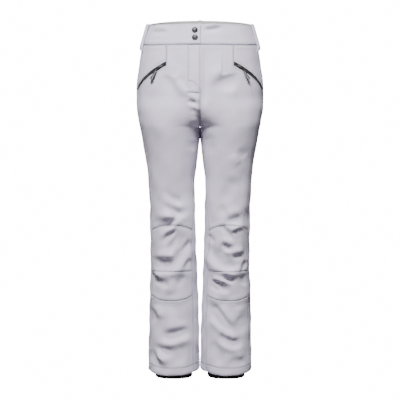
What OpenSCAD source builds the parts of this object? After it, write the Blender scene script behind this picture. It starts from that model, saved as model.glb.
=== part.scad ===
// Women's softshell ski trousers: a shell of cut and sewn panels with a contoured waistband,
// a snapped waist tab over a zipped fly, two curved pocket zips, shaped knees and boot gaiters.
// Frame: the front faces -Y, the wearer's left is +X, and the origin is the middle of the waist
// opening, level with the waistband's top edge at the side. Heights called h are side heights.

/* [Body] */
// Width of the waistband's top edge, side to side
waist_w = 292; // [280:2:310]
// Width across the hips at their widest
hip_w = 366; // [356:2:380]
// Drop from the waist opening to the crotch
crotch_drop = 297; // [290:1:306]
// Drop from the waist opening to the hem
hem_drop = 994; // [980:2:1020]
// Width of one leg at the hem
hem_w = 147; // [140:1:152]

/* [Cloth] */
// Thickness of the bonded softshell
cloth_t = 1.6; // [1.2:0.1:2.0]
// Thickness of lining, facing and gaiter cloth
thin_t = 1.2; // [0.8:0.1:1.4]
// Gap left between two panels along a seam
seam_gap = 0.3; // [0.2:0.1:0.5]

/* [Waist and fly] */
// Height of the waistband
band_h = 58; // [52:1:62]
// How much the waist opening rises per millimetre towards the back
waist_tilt = 0.13; // [0.10:0.005:0.16]
// Distance from the front middle to the line on which the flap turns
fly_w = 36; // [32:1:40]
// Side height of the flap's lower end
fly_end = -199; // [-202:1:-180]
// Radius of a snap's cap
cap_r = 8.5; // [7.5:0.5:9]
// Width of a belt loop
loop_w = 12; // [10:1:16]
// Room between a belt loop and the waistband
loop_gap = 7; // [6:0.5:9]

/* [Pocket zips] */
// Width of the zip tape that shows
tape_w = 8.4; // [7:0.2:9]
// Length of the pull's moulded grip
grip_len = 28; // [18:1:32]

/* [Legs] */
// Side height of the seam above the knee
knee_top = -590; // [-600:1:-580]
// Side height at which the knee bends
knee_bend = -690; // [-700:1:-680]
// Side height of the double seam below the knee
knee_low = -776; // [-784:1:-768]
// How far the gaiter's elastic hangs below the hem
gaiter_drop = 22; // [16:1:28]

/* [Hidden] */

cloth_colour = [0.82, 0.81, 0.84];
lining_colour = [0.72, 0.73, 0.74];
black = [0.05, 0.05, 0.06];
gunmetal = [0.24, 0.24, 0.26];
squareness = 2.3;       // exponent of every cross-section: 2 is an ellipse
waist_dish = 0.0006;    // extra rise of the waist opening, front and back, per square millimetre
level_h = -220;         // side height below which sections are level
far = 600;              // larger than the object's half width

// Stations down the body: side height, outer half width, reach past the middle (below 0 it is
// half the gap between the legs), front depth, back depth, and y of the widest line.
hip = hip_w / 2;
crotch = -crotch_drop;
hem = -hem_drop;
leg_out = hem_w + 2.5;
stations = [
    [0, waist_w / 2, waist_w / 2, 98, 106, 0],
    [-band_h, hip - 18, hip - 18, 107, 118, 0],
    [-110, hip - 9, hip - 9, 112, 130, 0],
    [-190, hip, hip, 116, 141, 0],
    [-205, hip, hip, 116, 141, 0],
    [-240, hip - 1, hip * 0.52, 115, 138, 0],
    [-265, hip - 5, hip * 0.25, 113, 132, 0],
    [crotch + 12, hip - 8, hip * 0.08, 110, 125, 0],
    [crotch, hip - 11, 0, 108, 120, 0],
    [-349, hip - 20, -4, 98, 104, 2],
    [-400, hip - 29, -9, 90, 94, 3],
    [-453, hip - 34, -15, 83, 86, 4],
    [-540, hip - 39, -13.5, 77, 76, 3],
    [-600, hip - 39.5, -12, 77, 72, 1],
    [knee_bend, hip - 40, -9, 76, 73, 3],
    [knee_low, leg_out - 3, -6, 77, 80, 5],
    [-836, leg_out - 2, -3.5, 80, 86, 5],
    [-900, leg_out - 0.5, -2.5, 85, 90, 4],
    [hem, leg_out + 0.5, -2.5, 92, 95, 2]
];

// ---- Interpolation -------------------------------------------------------------------------
function smooth_step(t) = let (u = min(max(t, 0), 1)) u * u * (3 - 2 * u);
function lerp(a, b, t) = a + (b - a) * t;
function span(table, h, i = 0) =
    i >= len(table) - 2 || h >= table[i + 1][0] ? i : span(table, h, i + 1);
function rate(table, i, c) = (table[i + 1][c] - table[i][c]) / (table[i + 1][0] - table[i][0]);
// A slope that never overshoots: the harmonic mean of the two neighbouring ones.
function slope(table, i, c) =
    i == 0 ? rate(table, 0, c)
    : i == len(table) - 1 ? rate(table, i - 1, c)
    : let (p = rate(table, i - 1, c), q = rate(table, i, c)) p * q <= 0 ? 0 : 2 * p * q / (p + q);
function at(table, h, c) =
    let (
        i = span(table, h),
        w = table[i + 1][0] - table[i][0],
        u = (h - table[i][0]) / w,
        u2 = u * u,
        u3 = u2 * u
    )
    (2 * u3 - 3 * u2 + 1) * table[i][c] + (3 * u2 - 2 * u3) * table[i + 1][c]
    + (u3 - 2 * u2 + u) * w * slope(table, i, c) + (u3 - u2) * w * slope(table, i + 1, c);

// ---- The body's surface --------------------------------------------------------------------
// Angle 0 is the outer side, -90 the front, 90 the back and 180 the inner side of the left leg.
function power(v) = sign(v) * pow(abs(v), 2 / squareness);
function rise(h, y) =
    smooth_step((h - level_h) / (-band_h - level_h)) * (waist_tilt * y + waist_dish * y * y);
function skin(h, a) =
    let (
        outer = at(stations, h, 1),
        reach = at(stations, h, 2),
        depth = sin(a) < 0 ? at(stations, h, 3) : at(stations, h, 4),
        x = (outer - reach) / 2 + (outer + reach) / 2 * power(cos(a)),
        y = at(stations, h, 5) + depth * power(sin(a))
    )
    [x, y, h + rise(h, y)];
function unit(v) = v / norm(v);
function skin_normal(h, a) =
    unit(cross(skin(h, a + 0.5) - skin(h, a - 0.5), skin(h + 0.5, a) - skin(h - 0.5, a)));
function cloth(h, a, d) = skin(h, a) + d * skin_normal(h, a);
// The front angle at which the surface has that x.
function front_angle(h, x) =
    let (
        outer = at(stations, h, 1),
        reach = at(stations, h, 2),
        u = (x - (outer - reach) / 2) / ((outer + reach) / 2)
    )
    -acos(max(-1, min(1, sign(u) * pow(abs(u), squareness / 2))));

// Seam lines, as angles: the side seam, and the inner edges of the front and back panels.
function side_seam(h) = -lerp(12, 27, smooth_step((crotch - h) / 300));
function inseam_turn(h) = 40 * smooth_step((crotch - h) / 340);
function front_inner(h) = h > crotch ? front_angle(h, seam_gap / 2) : inseam_turn(h) - 180;
function back_inner(h) = h > crotch ? -front_angle(h, seam_gap / 2) : 180 + inseam_turn(h);

// ---- Cloth pieces --------------------------------------------------------------------------
function arch(s) = 4 * s * (1 - s);
function quad(a, b, c, d) = [[a, b, c], [a, c, d]];
// A solid of two skins, each a grid of rows by columns, closed along its four edges.
module two_skins(outer, inner) {
    rows = len(outer);
    cols = len(outer[0]);
    n = rows * cols;
    points = [for (r = outer) each r, for (r = inner) each r];
    faces = [
        for (i = [0 : rows - 2], j = [0 : cols - 2])
            let (p = i * cols + j) each quad(p, p + 1, p + cols + 1, p + cols),
        for (i = [0 : rows - 2], j = [0 : cols - 2])
            let (p = n + i * cols + j) each quad(p + cols, p + cols + 1, p + 1, p),
        for (j = [0 : cols - 2]) each quad(j + n, j + 1 + n, j + 1, j),
        for (j = [0 : cols - 2])
            let (p = (rows - 1) * cols + j) each quad(p, p + 1, p + 1 + n, p + n),
        for (i = [0 : rows - 2])
            let (p = i * cols) each quad(p, p + cols, p + cols + n, p + n),
        for (i = [0 : rows - 2])
            let (p = i * cols + cols - 1) each quad(p + n, p + cols + n, p + cols, p)
    ];
    polyhedron(points, faces, convexity = 8);
}

// A panel between two seam angles. heights lists its rows. Its ends are shifted by top_bow and
// low_bow times the shape function, which sees the place across the panel and the angle.
module panel(heights, from, to, d = [0, -cloth_t], cols = 13, top_bow = 0, low_bow = 0,
    shape = function (s, a) arch(s)) {
    rows = len(heights);
    trim = 0.12;
    grid = [for (e = d) [for (i = [0 : rows - 1]) [for (j = [0 : cols - 1])
        let (
            s = j / (cols - 1),
            v = i / (rows - 1),
            level = lerp(from(heights[i]), to(heights[i]), s),
            h = heights[i] + shape(s, level) * (top_bow * pow(1 - v, 3) + low_bow * pow(v, 3)),
            a = lerp(from(h) + trim, to(h) - trim, s)
        )
        cloth(h, a, e)]]];
    two_skins(grid[0], grid[1]);
}
function steps(from, to, n) = [for (i = [0 : n]) lerp(from, to, i / n)];

// A closed tube from rings of [height, half width, half depth, y of the middle].
module tube(rings, x, wall, sides = 40) {
    ring = function (r, d) [for (j = [0 : sides - 1])
        let (a = 360 * j / sides)
        [x + (r[1] + d) * power(cos(a)), r[3] + (r[2] + d) * power(sin(a)), r[0]]];
    n = len(rings);
    points = [for (r = rings) each ring(r, 0), for (r = rings) each ring(r, -wall)];
    inner = n * sides;
    faces = [for (j = [0 : sides - 1])
        let (k = (j + 1) % sides, b = (n - 1) * sides) each concat(
            [for (i = [0 : n - 2]) each quad(
                i * sides + k, i * sides + j, (i + 1) * sides + j, (i + 1) * sides + k)],
            [for (i = [0 : n - 2]) each quad(
                inner + i * sides + j, inner + i * sides + k,
                inner + (i + 1) * sides + k, inner + (i + 1) * sides + j)],
            quad(j, k, inner + k, inner + j),
            quad(b + k, b + j, inner + b + j, inner + b + k)
        )];
    polyhedron(points, faces, convexity = 8);
}

// ---- Frames --------------------------------------------------------------------------------
function matrix(x, y, z, o) =
    [[x[0], y[0], z[0], o[0]], [x[1], y[1], z[1], o[1]], [x[2], y[2], z[2], o[2]], [0, 0, 0, 1]];
// Children's +Z points out of the cloth, and +Y up along it.
module on_cloth(h, x, d) {
    a = front_angle(h, x);
    z = skin_normal(h, a);
    y = unit([0, 0, 1] - z[2] * z);
    multmatrix(matrix(cross(y, z), y, z, cloth(h, a, d))) children();
}
module left_or_right(left) {
    if (left) children();
    else mirror([1, 0, 0]) children();
}

// ---- Waistband -----------------------------------------------------------------------------
tab_edge = 2;                       // the tab ends this far past the front middle
tab_d = 2.9;                        // the tab's inner face stands this far off the cloth
snap_x = -14;
snap_heights = [-18, -39];
post_r = 1.5;
hole_r = 1.75;
function at_x(x) = function (h) front_angle(h, x);
band_rows = steps(-seam_gap, -band_h + seam_gap, 4);

module waistband_side(left) {
    end = left ? -fly_w + 1 : fly_w + seam_gap;
    color(cloth_colour) left_or_right(left) difference() {
        panel(band_rows, at_x(end), function (h) side_seam(h), cols = 15);
        if (left) snap_places(0) cylinder(h = 8, r = hole_r, center = true, $fn = 24);
    }
}
module waistband_back() color(cloth_colour)
    panel(band_rows, function (h) side_seam(h), function (h) 180 - side_seam(h), cols = 25);
module waist_lining() color(lining_colour)
    panel(steps(-2, -band_h + 2, 3), function (h) front_angle(h, 10),
        function (h) 180 - front_angle(h, fly_w + 6), d = [-2.2, -2.2 - thin_t], cols = 41);

module belt_loop() {
    strap_t = 2;
    out = loop_gap + strap_t;
    drop = band_h + 18;
    rotate([90, 0, 0]) linear_extrude(loop_w, center = true) difference() {
        polygon([[0, -1], [out * 0.6, 0], [out, -7], [out, -drop + 9], [out * 0.6, -drop], [0, -drop]]);
        polygon([[-1, -8], [loop_gap * 0.7, -8], [loop_gap, -12], [loop_gap, -drop + 12],
            [loop_gap * 0.7, -drop + 8], [-1, -drop + 8]]);
    }
}
loop_clear = 1;                     // a loop's sewn ends stand this far off the cloth
loop_at = -15;                      // the side loops sit by the side seams
module standing_loop(a) {
    top = cloth(0, a, loop_clear);
    z = unit(top - cloth(-band_h - 16, a, loop_clear));
    y = unit(cross(z, skin_normal(-30, a)));
    multmatrix(matrix(cross(y, z), y, z, top)) belt_loop();
}
module belt_loops() color(cloth_colour) {
    for (left = [true, false]) left_or_right(left) standing_loop(loop_at);
    standing_loop(90);
}

// ---- Front and back panels -----------------------------------------------------------------
body_rows = concat(steps(-band_h, -190, 5), [-205, -222, -240, -253, -265, -276],
    [crotch + 12, crotch + 6, crotch + 2, crotch - 2, crotch - 10], steps(-325, knee_top, 8));
function trimmed(rows) =
    [for (i = [0 : len(rows) - 1]) rows[i] + (i == 0 ? -seam_gap : i == len(rows) - 1 ? seam_gap : 0)];
knee_bow = 16;                      // the seam above the knee arches up by this much
low_bow = -14;                      // the double seam below it dips by this much
hem_bow = -7;                       // and so does the hem, front and back
notch = 63;                         // reach of the knee's back panel above and below the bend
behind = function (s, a) pow(max(0, sin(a)), 0.8);
yoke_x = 95;                        // the short seam from the waistband to the zip's inner end

module upper_front() panel(trimmed(body_rows), function (h) front_inner(h), function (h) side_seam(h),
    cols = 17, low_bow = knee_bow);
module above_zip(clear) multmatrix(zip_matrix) translate([-far, -far, clear]) cube(2 * far);
module front_yoke(left) color(cloth_colour) left_or_right(left) intersection() {
    upper_front();
    above_zip(tape_w / 2 + 0.4);
    translate([yoke_x + seam_gap, -far, yoke_low]) cube(2 * far);
}
module front_panel(left) color(cloth_colour) left_or_right(left) {
    difference() {
        upper_front();
        intersection() {
            above_zip(-tape_w / 2 - 0.4);
            translate([yoke_x, -far, yoke_low]) cube(2 * far);
        }
        if (!left) translate([-1, -far, fly_end - 1.5]) cube([fly_w + 1, far, far]);
    }
    if (left) fly_underlap();
}
// The left front's own strip under the flap, to which the zip is sewn.
module fly_underlap() panel(steps(-band_h - 1, fly_end + 4, 6), at_x(-11.5), at_x(4),
    d = [-0.2, -cloth_t + 0.2], cols = 4);
module back_panel(left) color(cloth_colour) left_or_right(left)
    panel(trimmed(concat(body_rows, steps(knee_top - 30, knee_bend, 2))), function (h) side_seam(h),
        function (h) back_inner(h), cols = 19, low_bow = notch, shape = behind);
// The part of the back that folds as the knee bends: a wedge that is widest behind the knee.
module knee_back(left) color(cloth_colour) left_or_right(left) {
    rows = 5;
    cols = 17;
    fold = function (i, s) let (
        a = lerp(1, 179, s),
        h = knee_bend + lerp(1, -1, i / rows) * (notch * behind(s, a) - 0.5)
    ) [h, a];
    two_skins([for (i = [0 : rows]) [for (j = [0 : cols]) let (f = fold(i, j / cols)) cloth(f[0], f[1], 0)]],
        [for (i = [0 : rows]) [for (j = [0 : cols]) let (f = fold(i, j / cols)) cloth(f[0], f[1], -cloth_t)]]);
}
module knee_upper(left) color(cloth_colour) left_or_right(left)
    panel(trimmed(steps(knee_top, knee_bend, 4)), function (h) front_inner(h),
        function (h) side_seam(h), cols = 15, top_bow = knee_bow);
module knee_lower(left) color(cloth_colour) left_or_right(left)
    panel(trimmed(steps(knee_bend, knee_low, 3)), function (h) front_inner(h),
        function (h) side_seam(h), cols = 15, low_bow = low_bow);
module shin_panel(left) color(cloth_colour) left_or_right(left)
    panel(trimmed(steps(knee_low, hem, 8)), function (h) front_inner(h),
        function (h) side_seam(h), cols = 15, top_bow = low_bow, low_bow = hem_bow);
module calf_panel(left) color(cloth_colour) left_or_right(left)
    panel(trimmed(steps(knee_bend, hem, 10)), function (h) side_seam(h),
        function (h) back_inner(h), cols = 19, top_bow = -notch, low_bow = hem_bow, shape = behind);

// ---- Fly -----------------------------------------------------------------------------------
zip_x = -17;
flap_d = 0.6;
shield_d = -7.6;
chain_w = 5;
fly_top = cloth(-band_h - 6, front_angle(-band_h - 6, zip_x), -3);
fly_low = cloth(fly_end + 5, front_angle(fly_end + 5, zip_x), -3);
fly_len = norm(fly_top - fly_low);
fly_z = unit(fly_top - fly_low);
fly_out = unit(cross([1, 0, 0], fly_z));    // out of the cloth
// Children's +Z runs up the fly zip from its lower end, and -Y points out.
module on_fly() multmatrix(matrix([1, 0, 0], -fly_out, fly_z, fly_low)) children();

module fly_flap() color(cloth_colour)
    panel(steps(-band_h - 1, fly_end, 8), at_x(-fly_w + seam_gap), at_x(0.5),
        d = [flap_d + cloth_t, flap_d], cols = 6);
module waist_tab() color(cloth_colour) difference() {
    panel(band_rows, at_x(-fly_w + seam_gap), at_x(tab_edge), d = [tab_d + cloth_t, tab_d], cols = 6);
    snap_places(tab_d) cylinder(h = 8, r = hole_r, center = true, $fn = 24);
}
module fly_shield() color(cloth_colour)
    panel(steps(-band_h - 1, fly_end - 4, 6), at_x(-fly_w - 4), at_x(8),
        d = [shield_d, shield_d - cloth_t], cols = 6);
module fly_zip_tapes() color(black) on_fly() for (side = [-1, 1])
    translate([side * (chain_w / 2 + 0.2 + 4.5), 0, fly_len / 2])
        cube([9, 0.8, fly_len], center = true);
tooth_pitch = 1.9;
module fly_zip_teeth() color(black) on_fly() {
    translate([0, 0, fly_len / 2]) cube([chain_w - 2, 1, fly_len - 8], center = true);
    for (z = [5 : tooth_pitch : fly_len - 6])
        translate([0, 0, z]) cube([chain_w, 1.8, tooth_pitch * 0.55], center = true);
}
module fly_zip_stops() color(gunmetal) on_fly()
    for (z = [2, fly_len - 2]) translate([0, 0, z]) cube([chain_w + 0.2, 2.6, 2.6], center = true);
module fly_slider() color(gunmetal) on_fly() translate([0, 0, fly_len - 10]) {
    translate([0, -1.9, 0]) linear_extrude(9, center = true)
        polygon([[-3.6, -0.7], [3.6, -0.7], [4.2, 0.5], [-4.2, 0.5]]);
    for (z = [-2.2, 2.2]) translate([0, -3, z]) cube([1.4, 1, 1.2], center = true);
}
// The pull lies flat under the flap, so it rides with its slider.
module fly_pull() color(gunmetal) on_fly() translate([0, -3.1, fly_len - 12.6]) difference() {
    translate([0, 0, -9]) cube([4.6, 0.8, 15], center = true);
    rotate([90, 0, 0]) linear_extrude(3, center = true) translate([0, -12]) circle(d = 2.6, $fn = 24);
    translate([0, 0, -3.6]) cube([2.2, 3, 3], center = true);
}

// ---- Snaps ---------------------------------------------------------------------------------
module snap_places(d) for (h = snap_heights) on_cloth(h, snap_x, d) children();
module snap_caps() color(gunmetal) snap_places(tab_d + cloth_t + 0.1) {
    rotate_extrude($fn = 64) polygon([[0, 0], [cap_r, 0], [cap_r + 0.2, 0.7], [cap_r - 0.5, 1.7],
        [cap_r - 1.6, 2.0], [cap_r - 2.4, 1.5], [cap_r - 4, 1.9], [0, 2.3]]);
    translate([0, 0, -cloth_t - 0.5]) cylinder(h = cloth_t + 1, r = post_r, $fn = 32);
}
module snap_sockets() color(gunmetal) snap_places(tab_d - 0.1) difference() {
    translate([0, 0, -2]) cylinder(h = 2, r = 6, $fn = 48);
    translate([0, 0, -3]) cylinder(h = 2.4, r = 3.6, $fn = 48);
    translate([0, 0, -3]) cylinder(h = 4, r = hole_r, $fn = 32);
}
module snap_studs() color(gunmetal) snap_places(0.1) {
    cylinder(h = 0.6, r = 5.6, $fn = 48);
    rotate_extrude($fn = 48) polygon([[0, 0], [2.5, 0.5], [2.5, 1.2], [2.8, 1.6], [2.4, 2.1], [0, 2.1]]);
    translate([0, 0, -cloth_t - 0.3]) cylinder(h = cloth_t + 0.6, r = post_r, $fn = 32);
}
module snap_backs() color(gunmetal) snap_places(-cloth_t - 0.5) difference() {
    translate([0, 0, -0.05]) cylinder(h = 0.4, r = 4.8, $fn = 48);
    cylinder(h = 4, r = hole_r, center = true, $fn = 32);
}

// ---- Pocket zips ---------------------------------------------------------------------------
// The zip follows the circle through three points of the surface, and the slider turns about
// that circle's axis.
zip_start = skin(-113, front_angle(-113, 95));
zip_mid = skin(-145, front_angle(-145, 145));
zip_end = skin(-186, side_seam(-186) - 3);
function circle_centre(a, b, c) =
    let (u = b - a, v = c - a, w = cross(u, v))
    a + cross(w, norm(v) * norm(v) * u - norm(u) * norm(u) * v) / (2 * w * w);
zip_c = circle_centre(zip_start, zip_mid, zip_end);
zip_r = norm(zip_start - zip_c);
zip_axis = unit(cross(zip_start - zip_c, zip_end - zip_c));
zip_in = unit(zip_start - zip_c);
zip_sweep = 2 * asin(norm(zip_end - zip_start) / 2 / zip_r);
zip_matrix = matrix(zip_in, cross(zip_axis, zip_in), zip_axis, zip_c);
function turn_of(length) = length / zip_r * 180 / PI;
yoke_low = zip_end[2] - 30;         // the zip's plane parts the cloth only above this level

module zip_band(r, w, t, from, to) rotate([0, 0, from])
    rotate_extrude(angle = to - from, $fn = 180) translate([r, -w / 2]) square([t, w]);
tape_start = turn_of(1.5);          // clear of the front panel's edge beside the zip
coil_start = turn_of(3.5);
module pocket_tape(left) color(black) left_or_right(left) multmatrix(zip_matrix)
    for (side = [-1, 1]) translate([0, 0, side * (tape_w / 4 + 0.1)])
        zip_band(zip_r - 1.0, tape_w / 2 - 0.2, 1.0, tape_start, zip_sweep);
module pocket_coil(left) color(black) left_or_right(left) multmatrix(zip_matrix)
    rotate([0, 0, coil_start]) rotate_extrude(angle = zip_sweep - coil_start, $fn = 180)
        translate([zip_r - 2.3, 0]) circle(r = 1.2, $fn = 24);
module pocket_stops(left) color(gunmetal) left_or_right(left) multmatrix(zip_matrix) {
    zip_band(zip_r + 0.1, tape_w - 2, 1.2, turn_of(0.3), turn_of(2.6));
    zip_band(zip_r + 0.1, tape_w - 2, 1.0, zip_sweep - turn_of(3), zip_sweep - turn_of(1));
}
slider_at = turn_of(24);            // the closed slider's hinge, past the zip's inner end
slider_nose = turn_of(12);          // and its reach from there towards that end
pull_r = zip_r + 3.0;               // radius of the pull's own hinge
pull_lean = 36;                     // the pull hangs this much steeper than the zip runs
pull_tuck = 6;                      // and it leans this far in towards the cloth
eye_r = 0.75;
module on_slider() multmatrix(zip_matrix) rotate([0, 0, slider_at]) children();
module pocket_slider(left) color(gunmetal) left_or_right(left) {
    multmatrix(zip_matrix) {
        zip_band(zip_r + 0.3, 7.6, 1.1, slider_at - slider_nose, slider_at + turn_of(2));
        zip_band(zip_r + 0.3, 5.8, 1.1, slider_at + turn_of(2), slider_at + turn_of(5.5));
    }
    on_slider() {
        for (y = [-2.6, 2.6]) translate([zip_r + 2.7, y, 0]) cube([2.8, 1, 1.4], center = true);
        translate([zip_r + 4.6, 0, 0]) cube([1.0, 6.2, 1.4], center = true);
    }
}
// Children lie in the pull's own plane: +X out of the cloth, +Y down along the hanging pull, and
// +Z along its hinge.
module on_pull() on_slider() translate([pull_r, 0, 0]) rotate([-pull_lean, 0, 0])
    rotate([0, 0, pull_tuck]) children();
link_len = 14;
link_w = 7;
grip_neck = 2.8;                    // the grip widens from this radius at the link
grip_tip = 5;                       // to this one at its end
module pull_link(left) color(gunmetal) left_or_right(left) on_pull() {
    cylinder(h = link_w, r = eye_r, center = true, $fn = 24);
    for (z = [-1, 1]) translate([0, 3, z * (link_w - 1) / 2]) cube([1.3, 6, 1], center = true);
    translate([0, 6.4, 0]) cube([1.3, 1.6, link_w], center = true);
    translate([0, (link_len + 7) / 2, 0]) cube([1.2, link_len - 7, 2.2], center = true);
}
module pull_grip(left) color(black) left_or_right(left) on_pull()
    translate([0, link_len + 0.1, 0]) rotate([0, -90, 0]) linear_extrude(2.4, center = true) hull() {
        translate([0, grip_neck]) circle(r = grip_neck, $fn = 32);
        translate([0, grip_len - grip_tip]) circle(r = grip_tip, $fn = 32);
    }
module pocket_bag(left) color(lining_colour) left_or_right(left)
    panel(steps(-128, -270, 7), function (h) front_angle(h, 62 + 34 * smooth_step((h + 190) / 70)),
        function (h) side_seam(h) - 6, d = [-4.6, -6.6], cols = 9);

// ---- Lower legs ----------------------------------------------------------------------------
leg_x = (leg_out + 2.5) / 2;
leg_y = 2;                          // y of the middle of the gaiter's elastic
function leg_ring(h, d) =
    let (front = at(stations, h, 3), back = at(stations, h, 4))
    [h, (at(stations, h, 1) + at(stations, h, 2)) / 2 + d, (front + back) / 2 + d,
        at(stations, h, 5) + (back - front) / 2];
gaiter_end = hem - gaiter_drop;
gaiter_rings = [
    leg_ring(hem + 150, -6), leg_ring(hem + 120, -7.5), leg_ring(hem + 80, -11),
    [hem + 40, 60, 72, leg_y + 1], [hem + 15, 54.5, 63, leg_y], [hem - 2, 51.5, 57, leg_y],
    [gaiter_end + 1, 49, 54, leg_y]
];
module gaiter(left) color(black) left_or_right(left) tube(gaiter_rings, leg_x, thin_t);
module gaiter_elastic(left) color(black) left_or_right(left) tube([
    [hem - 5, 52.4, 57.6, leg_y], [hem - 7, 54.2, 59.4, leg_y], [gaiter_end + 3, 53.2, 58.2, leg_y],
    [gaiter_end, 51.2, 56.2, leg_y]
], leg_x, 1.0);
module gaiter_gripper(left) color(gunmetal) left_or_right(left) tube([
    [hem - 8, 48.2, 53.2, leg_y], [gaiter_end + 3, 47.2, 52.2, leg_y]
], leg_x, 0.8);
facing_d = cloth_t + 1.5;           // depth of the facing, clear of the flat facets of the calf
module hem_facing(left) color(cloth_colour) left_or_right(left)
    panel(steps(hem + 27, hem + 1, 2), function (h) 0, function (h) 358,
        d = [-facing_d, -facing_d - thin_t], cols = 41);

waistband_back();
waistband_side(true);  // waistband_left
waistband_side(false);  // waistband_right
waist_lining();
belt_loops();
front_yoke(true);  // front_yoke_left
front_yoke(false);  // front_yoke_right
front_panel(true);  // front_panel_left
front_panel(false);  // front_panel_right
back_panel(true);  // back_panel_left
back_panel(false);  // back_panel_right
knee_upper(true);  // knee_upper_left
knee_upper(false);  // knee_upper_right
knee_back(true);  // knee_back_left
knee_back(false);  // knee_back_right
fly_shield();
fly_zip_tapes();
fly_zip_teeth();
fly_zip_stops();
snap_studs();
snap_backs();
pocket_tape(true);  // pocket_tape_left
pocket_tape(false);  // pocket_tape_right
pocket_coil(true);  // pocket_coil_left
pocket_coil(false);  // pocket_coil_right
pocket_stops(true);  // pocket_stops_left
pocket_stops(false);  // pocket_stops_right
pocket_bag(true);  // pocket_bag_left
pocket_bag(false);  // pocket_bag_right
fly_flap();
waist_tab();
snap_caps();
snap_sockets();
fly_slider();
fly_pull();
pocket_slider(true);  // pocket_slider_left
pocket_slider(false);  // pocket_slider_right
pull_link(true);  // pull_link_left
pull_link(false);  // pull_link_right
pull_grip(true);  // pull_grip_left
pull_grip(false);  // pull_grip_right
knee_lower(true);  // knee_lower_left
knee_lower(false);  // knee_lower_right
shin_panel(true);  // shin_panel_left
shin_panel(false);  // shin_panel_right
calf_panel(true);  // calf_panel_left
calf_panel(false);  // calf_panel_right
hem_facing(true);  // hem_facing_left
hem_facing(false);  // hem_facing_right
gaiter(true);  // gaiter_left
gaiter(false);  // gaiter_right
gaiter_elastic(true);  // gaiter_elastic_left
gaiter_elastic(false);  // gaiter_elastic_right
gaiter_gripper(true);  // gaiter_gripper_left
gaiter_gripper(false);  // gaiter_gripper_right
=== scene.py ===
"""Ski trousers: cloth panels, seams, zips, snaps and gaiters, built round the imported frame.

Lengths are in millimetres until a mesh is made, in the frame's own axes: the front faces -Y, the
wearer's left is +X and Z runs up. Heights called h are side heights, and angles called a are in
degrees: 0 is the outer side, -90 the front, 90 the back and 180 the inner side of a leg.
"""
import math

import bpy
import numpy as np
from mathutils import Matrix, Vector
from mathutils.kdtree import KDTree


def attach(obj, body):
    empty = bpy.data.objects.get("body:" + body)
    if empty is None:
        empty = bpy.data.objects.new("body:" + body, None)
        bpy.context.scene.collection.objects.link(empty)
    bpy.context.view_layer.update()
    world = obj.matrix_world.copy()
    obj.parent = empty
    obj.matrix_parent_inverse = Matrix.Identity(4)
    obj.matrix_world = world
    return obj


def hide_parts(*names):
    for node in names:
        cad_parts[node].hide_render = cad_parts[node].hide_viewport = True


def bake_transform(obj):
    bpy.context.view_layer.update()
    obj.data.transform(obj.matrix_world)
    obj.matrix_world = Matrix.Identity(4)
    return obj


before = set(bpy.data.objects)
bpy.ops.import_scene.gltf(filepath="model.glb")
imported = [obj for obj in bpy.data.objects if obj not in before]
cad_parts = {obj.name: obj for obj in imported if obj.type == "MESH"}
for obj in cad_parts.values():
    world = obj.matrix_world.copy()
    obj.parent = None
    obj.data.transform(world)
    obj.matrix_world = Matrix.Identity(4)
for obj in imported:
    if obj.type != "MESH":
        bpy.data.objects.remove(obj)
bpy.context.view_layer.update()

MM = 0.001
SIDES = {"left": 1, "right": -1}

# ---- Sizes shared with the frame -----------------------------------------------------------
WAIST, HIP, LEG_OUT = 146, 183, 149.5           # outer half widths
CROTCH, HEM = -297, -994
BAND, FLY_END, FLY_W = -58, -199, 36
KNEE_TOP, KNEE_BEND, KNEE_LOW = -590, -690, -776
KNEE_SEAM = -706                                # the cloth's own seam lies a little below the bend
HEM_ROW, LOW_ROW, ROW, EDGE_ROW = HEM + 22, 7.2, 2.4, 2.6     # rows of stitching: heights, and distances
KNEE_BOW, LOW_BOW, HEM_BOW = 16, -14, -7        # how far the knee seams and the hem curve
CLOTH_T, THIN_T, GAP = 1.6, 1.2, 0.3
TAB_OFF, FLAP_OFF, TAB_EDGE = 4.5, 2.2, 2       # outer faces of the tab and flap, and the tab's end
BAND_T, SEAM_TAPE_T, BAG_T = 2.2, 0.6, 2
LINING_OFF, BAG_OFF, FACING_OFF, SEAM_TAPE_OFF = -2.6, -4.6, -3.1, -1.9     # outer faces inside the cloth
UNDERLAP_OFF, SHIELD_OFF = -0.4, -7.6
YOKE_X, TAPE_W = 95, 8.4
SNAP_X, SNAP_HEIGHTS, CAP_R = -14, (-18, -39), 8.5
SQUARENESS, TILT, DISH, LEVEL = 2.3, 0.13, 0.0006, -220
STATIONS = np.array([
    # side height, outer half width, reach past the middle, front depth, back depth, y of the middle
    [0, WAIST, WAIST, 98, 106, 0],
    [BAND, HIP - 18, HIP - 18, 107, 118, 0],
    [-110, HIP - 9, HIP - 9, 112, 130, 0],
    [-190, HIP, HIP, 116, 141, 0],
    [-205, HIP, HIP, 116, 141, 0],
    [-240, HIP - 1, HIP * 0.52, 115, 138, 0],
    [-265, HIP - 5, HIP * 0.25, 113, 132, 0],
    [CROTCH + 12, HIP - 8, HIP * 0.08, 110, 125, 0],
    [CROTCH, HIP - 11, 0, 108, 120, 0],
    [-349, HIP - 20, -4, 98, 104, 2],
    [-400, HIP - 29, -9, 90, 94, 3],
    [-453, HIP - 34, -15, 83, 86, 4],
    [-540, HIP - 39, -13.5, 77, 76, 3],
    [-600, HIP - 39.5, -12, 77, 72, 1],
    [KNEE_BEND, HIP - 40, -9, 76, 73, 3],
    [KNEE_LOW, LEG_OUT - 3, -6, 77, 80, 5],
    [-836, LEG_OUT - 2, -3.5, 80, 86, 5],
    [-900, LEG_OUT - 0.5, -2.5, 85, 90, 4],
    [HEM, LEG_OUT + 0.5, -2.5, 92, 95, 2],
], float)
STEP = 3.2                                      # spacing of a panel's grid
SEAM_STEPS = (0.35, 0.9, 1.7, 2.8)              # and its first lines beside a seam


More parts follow.
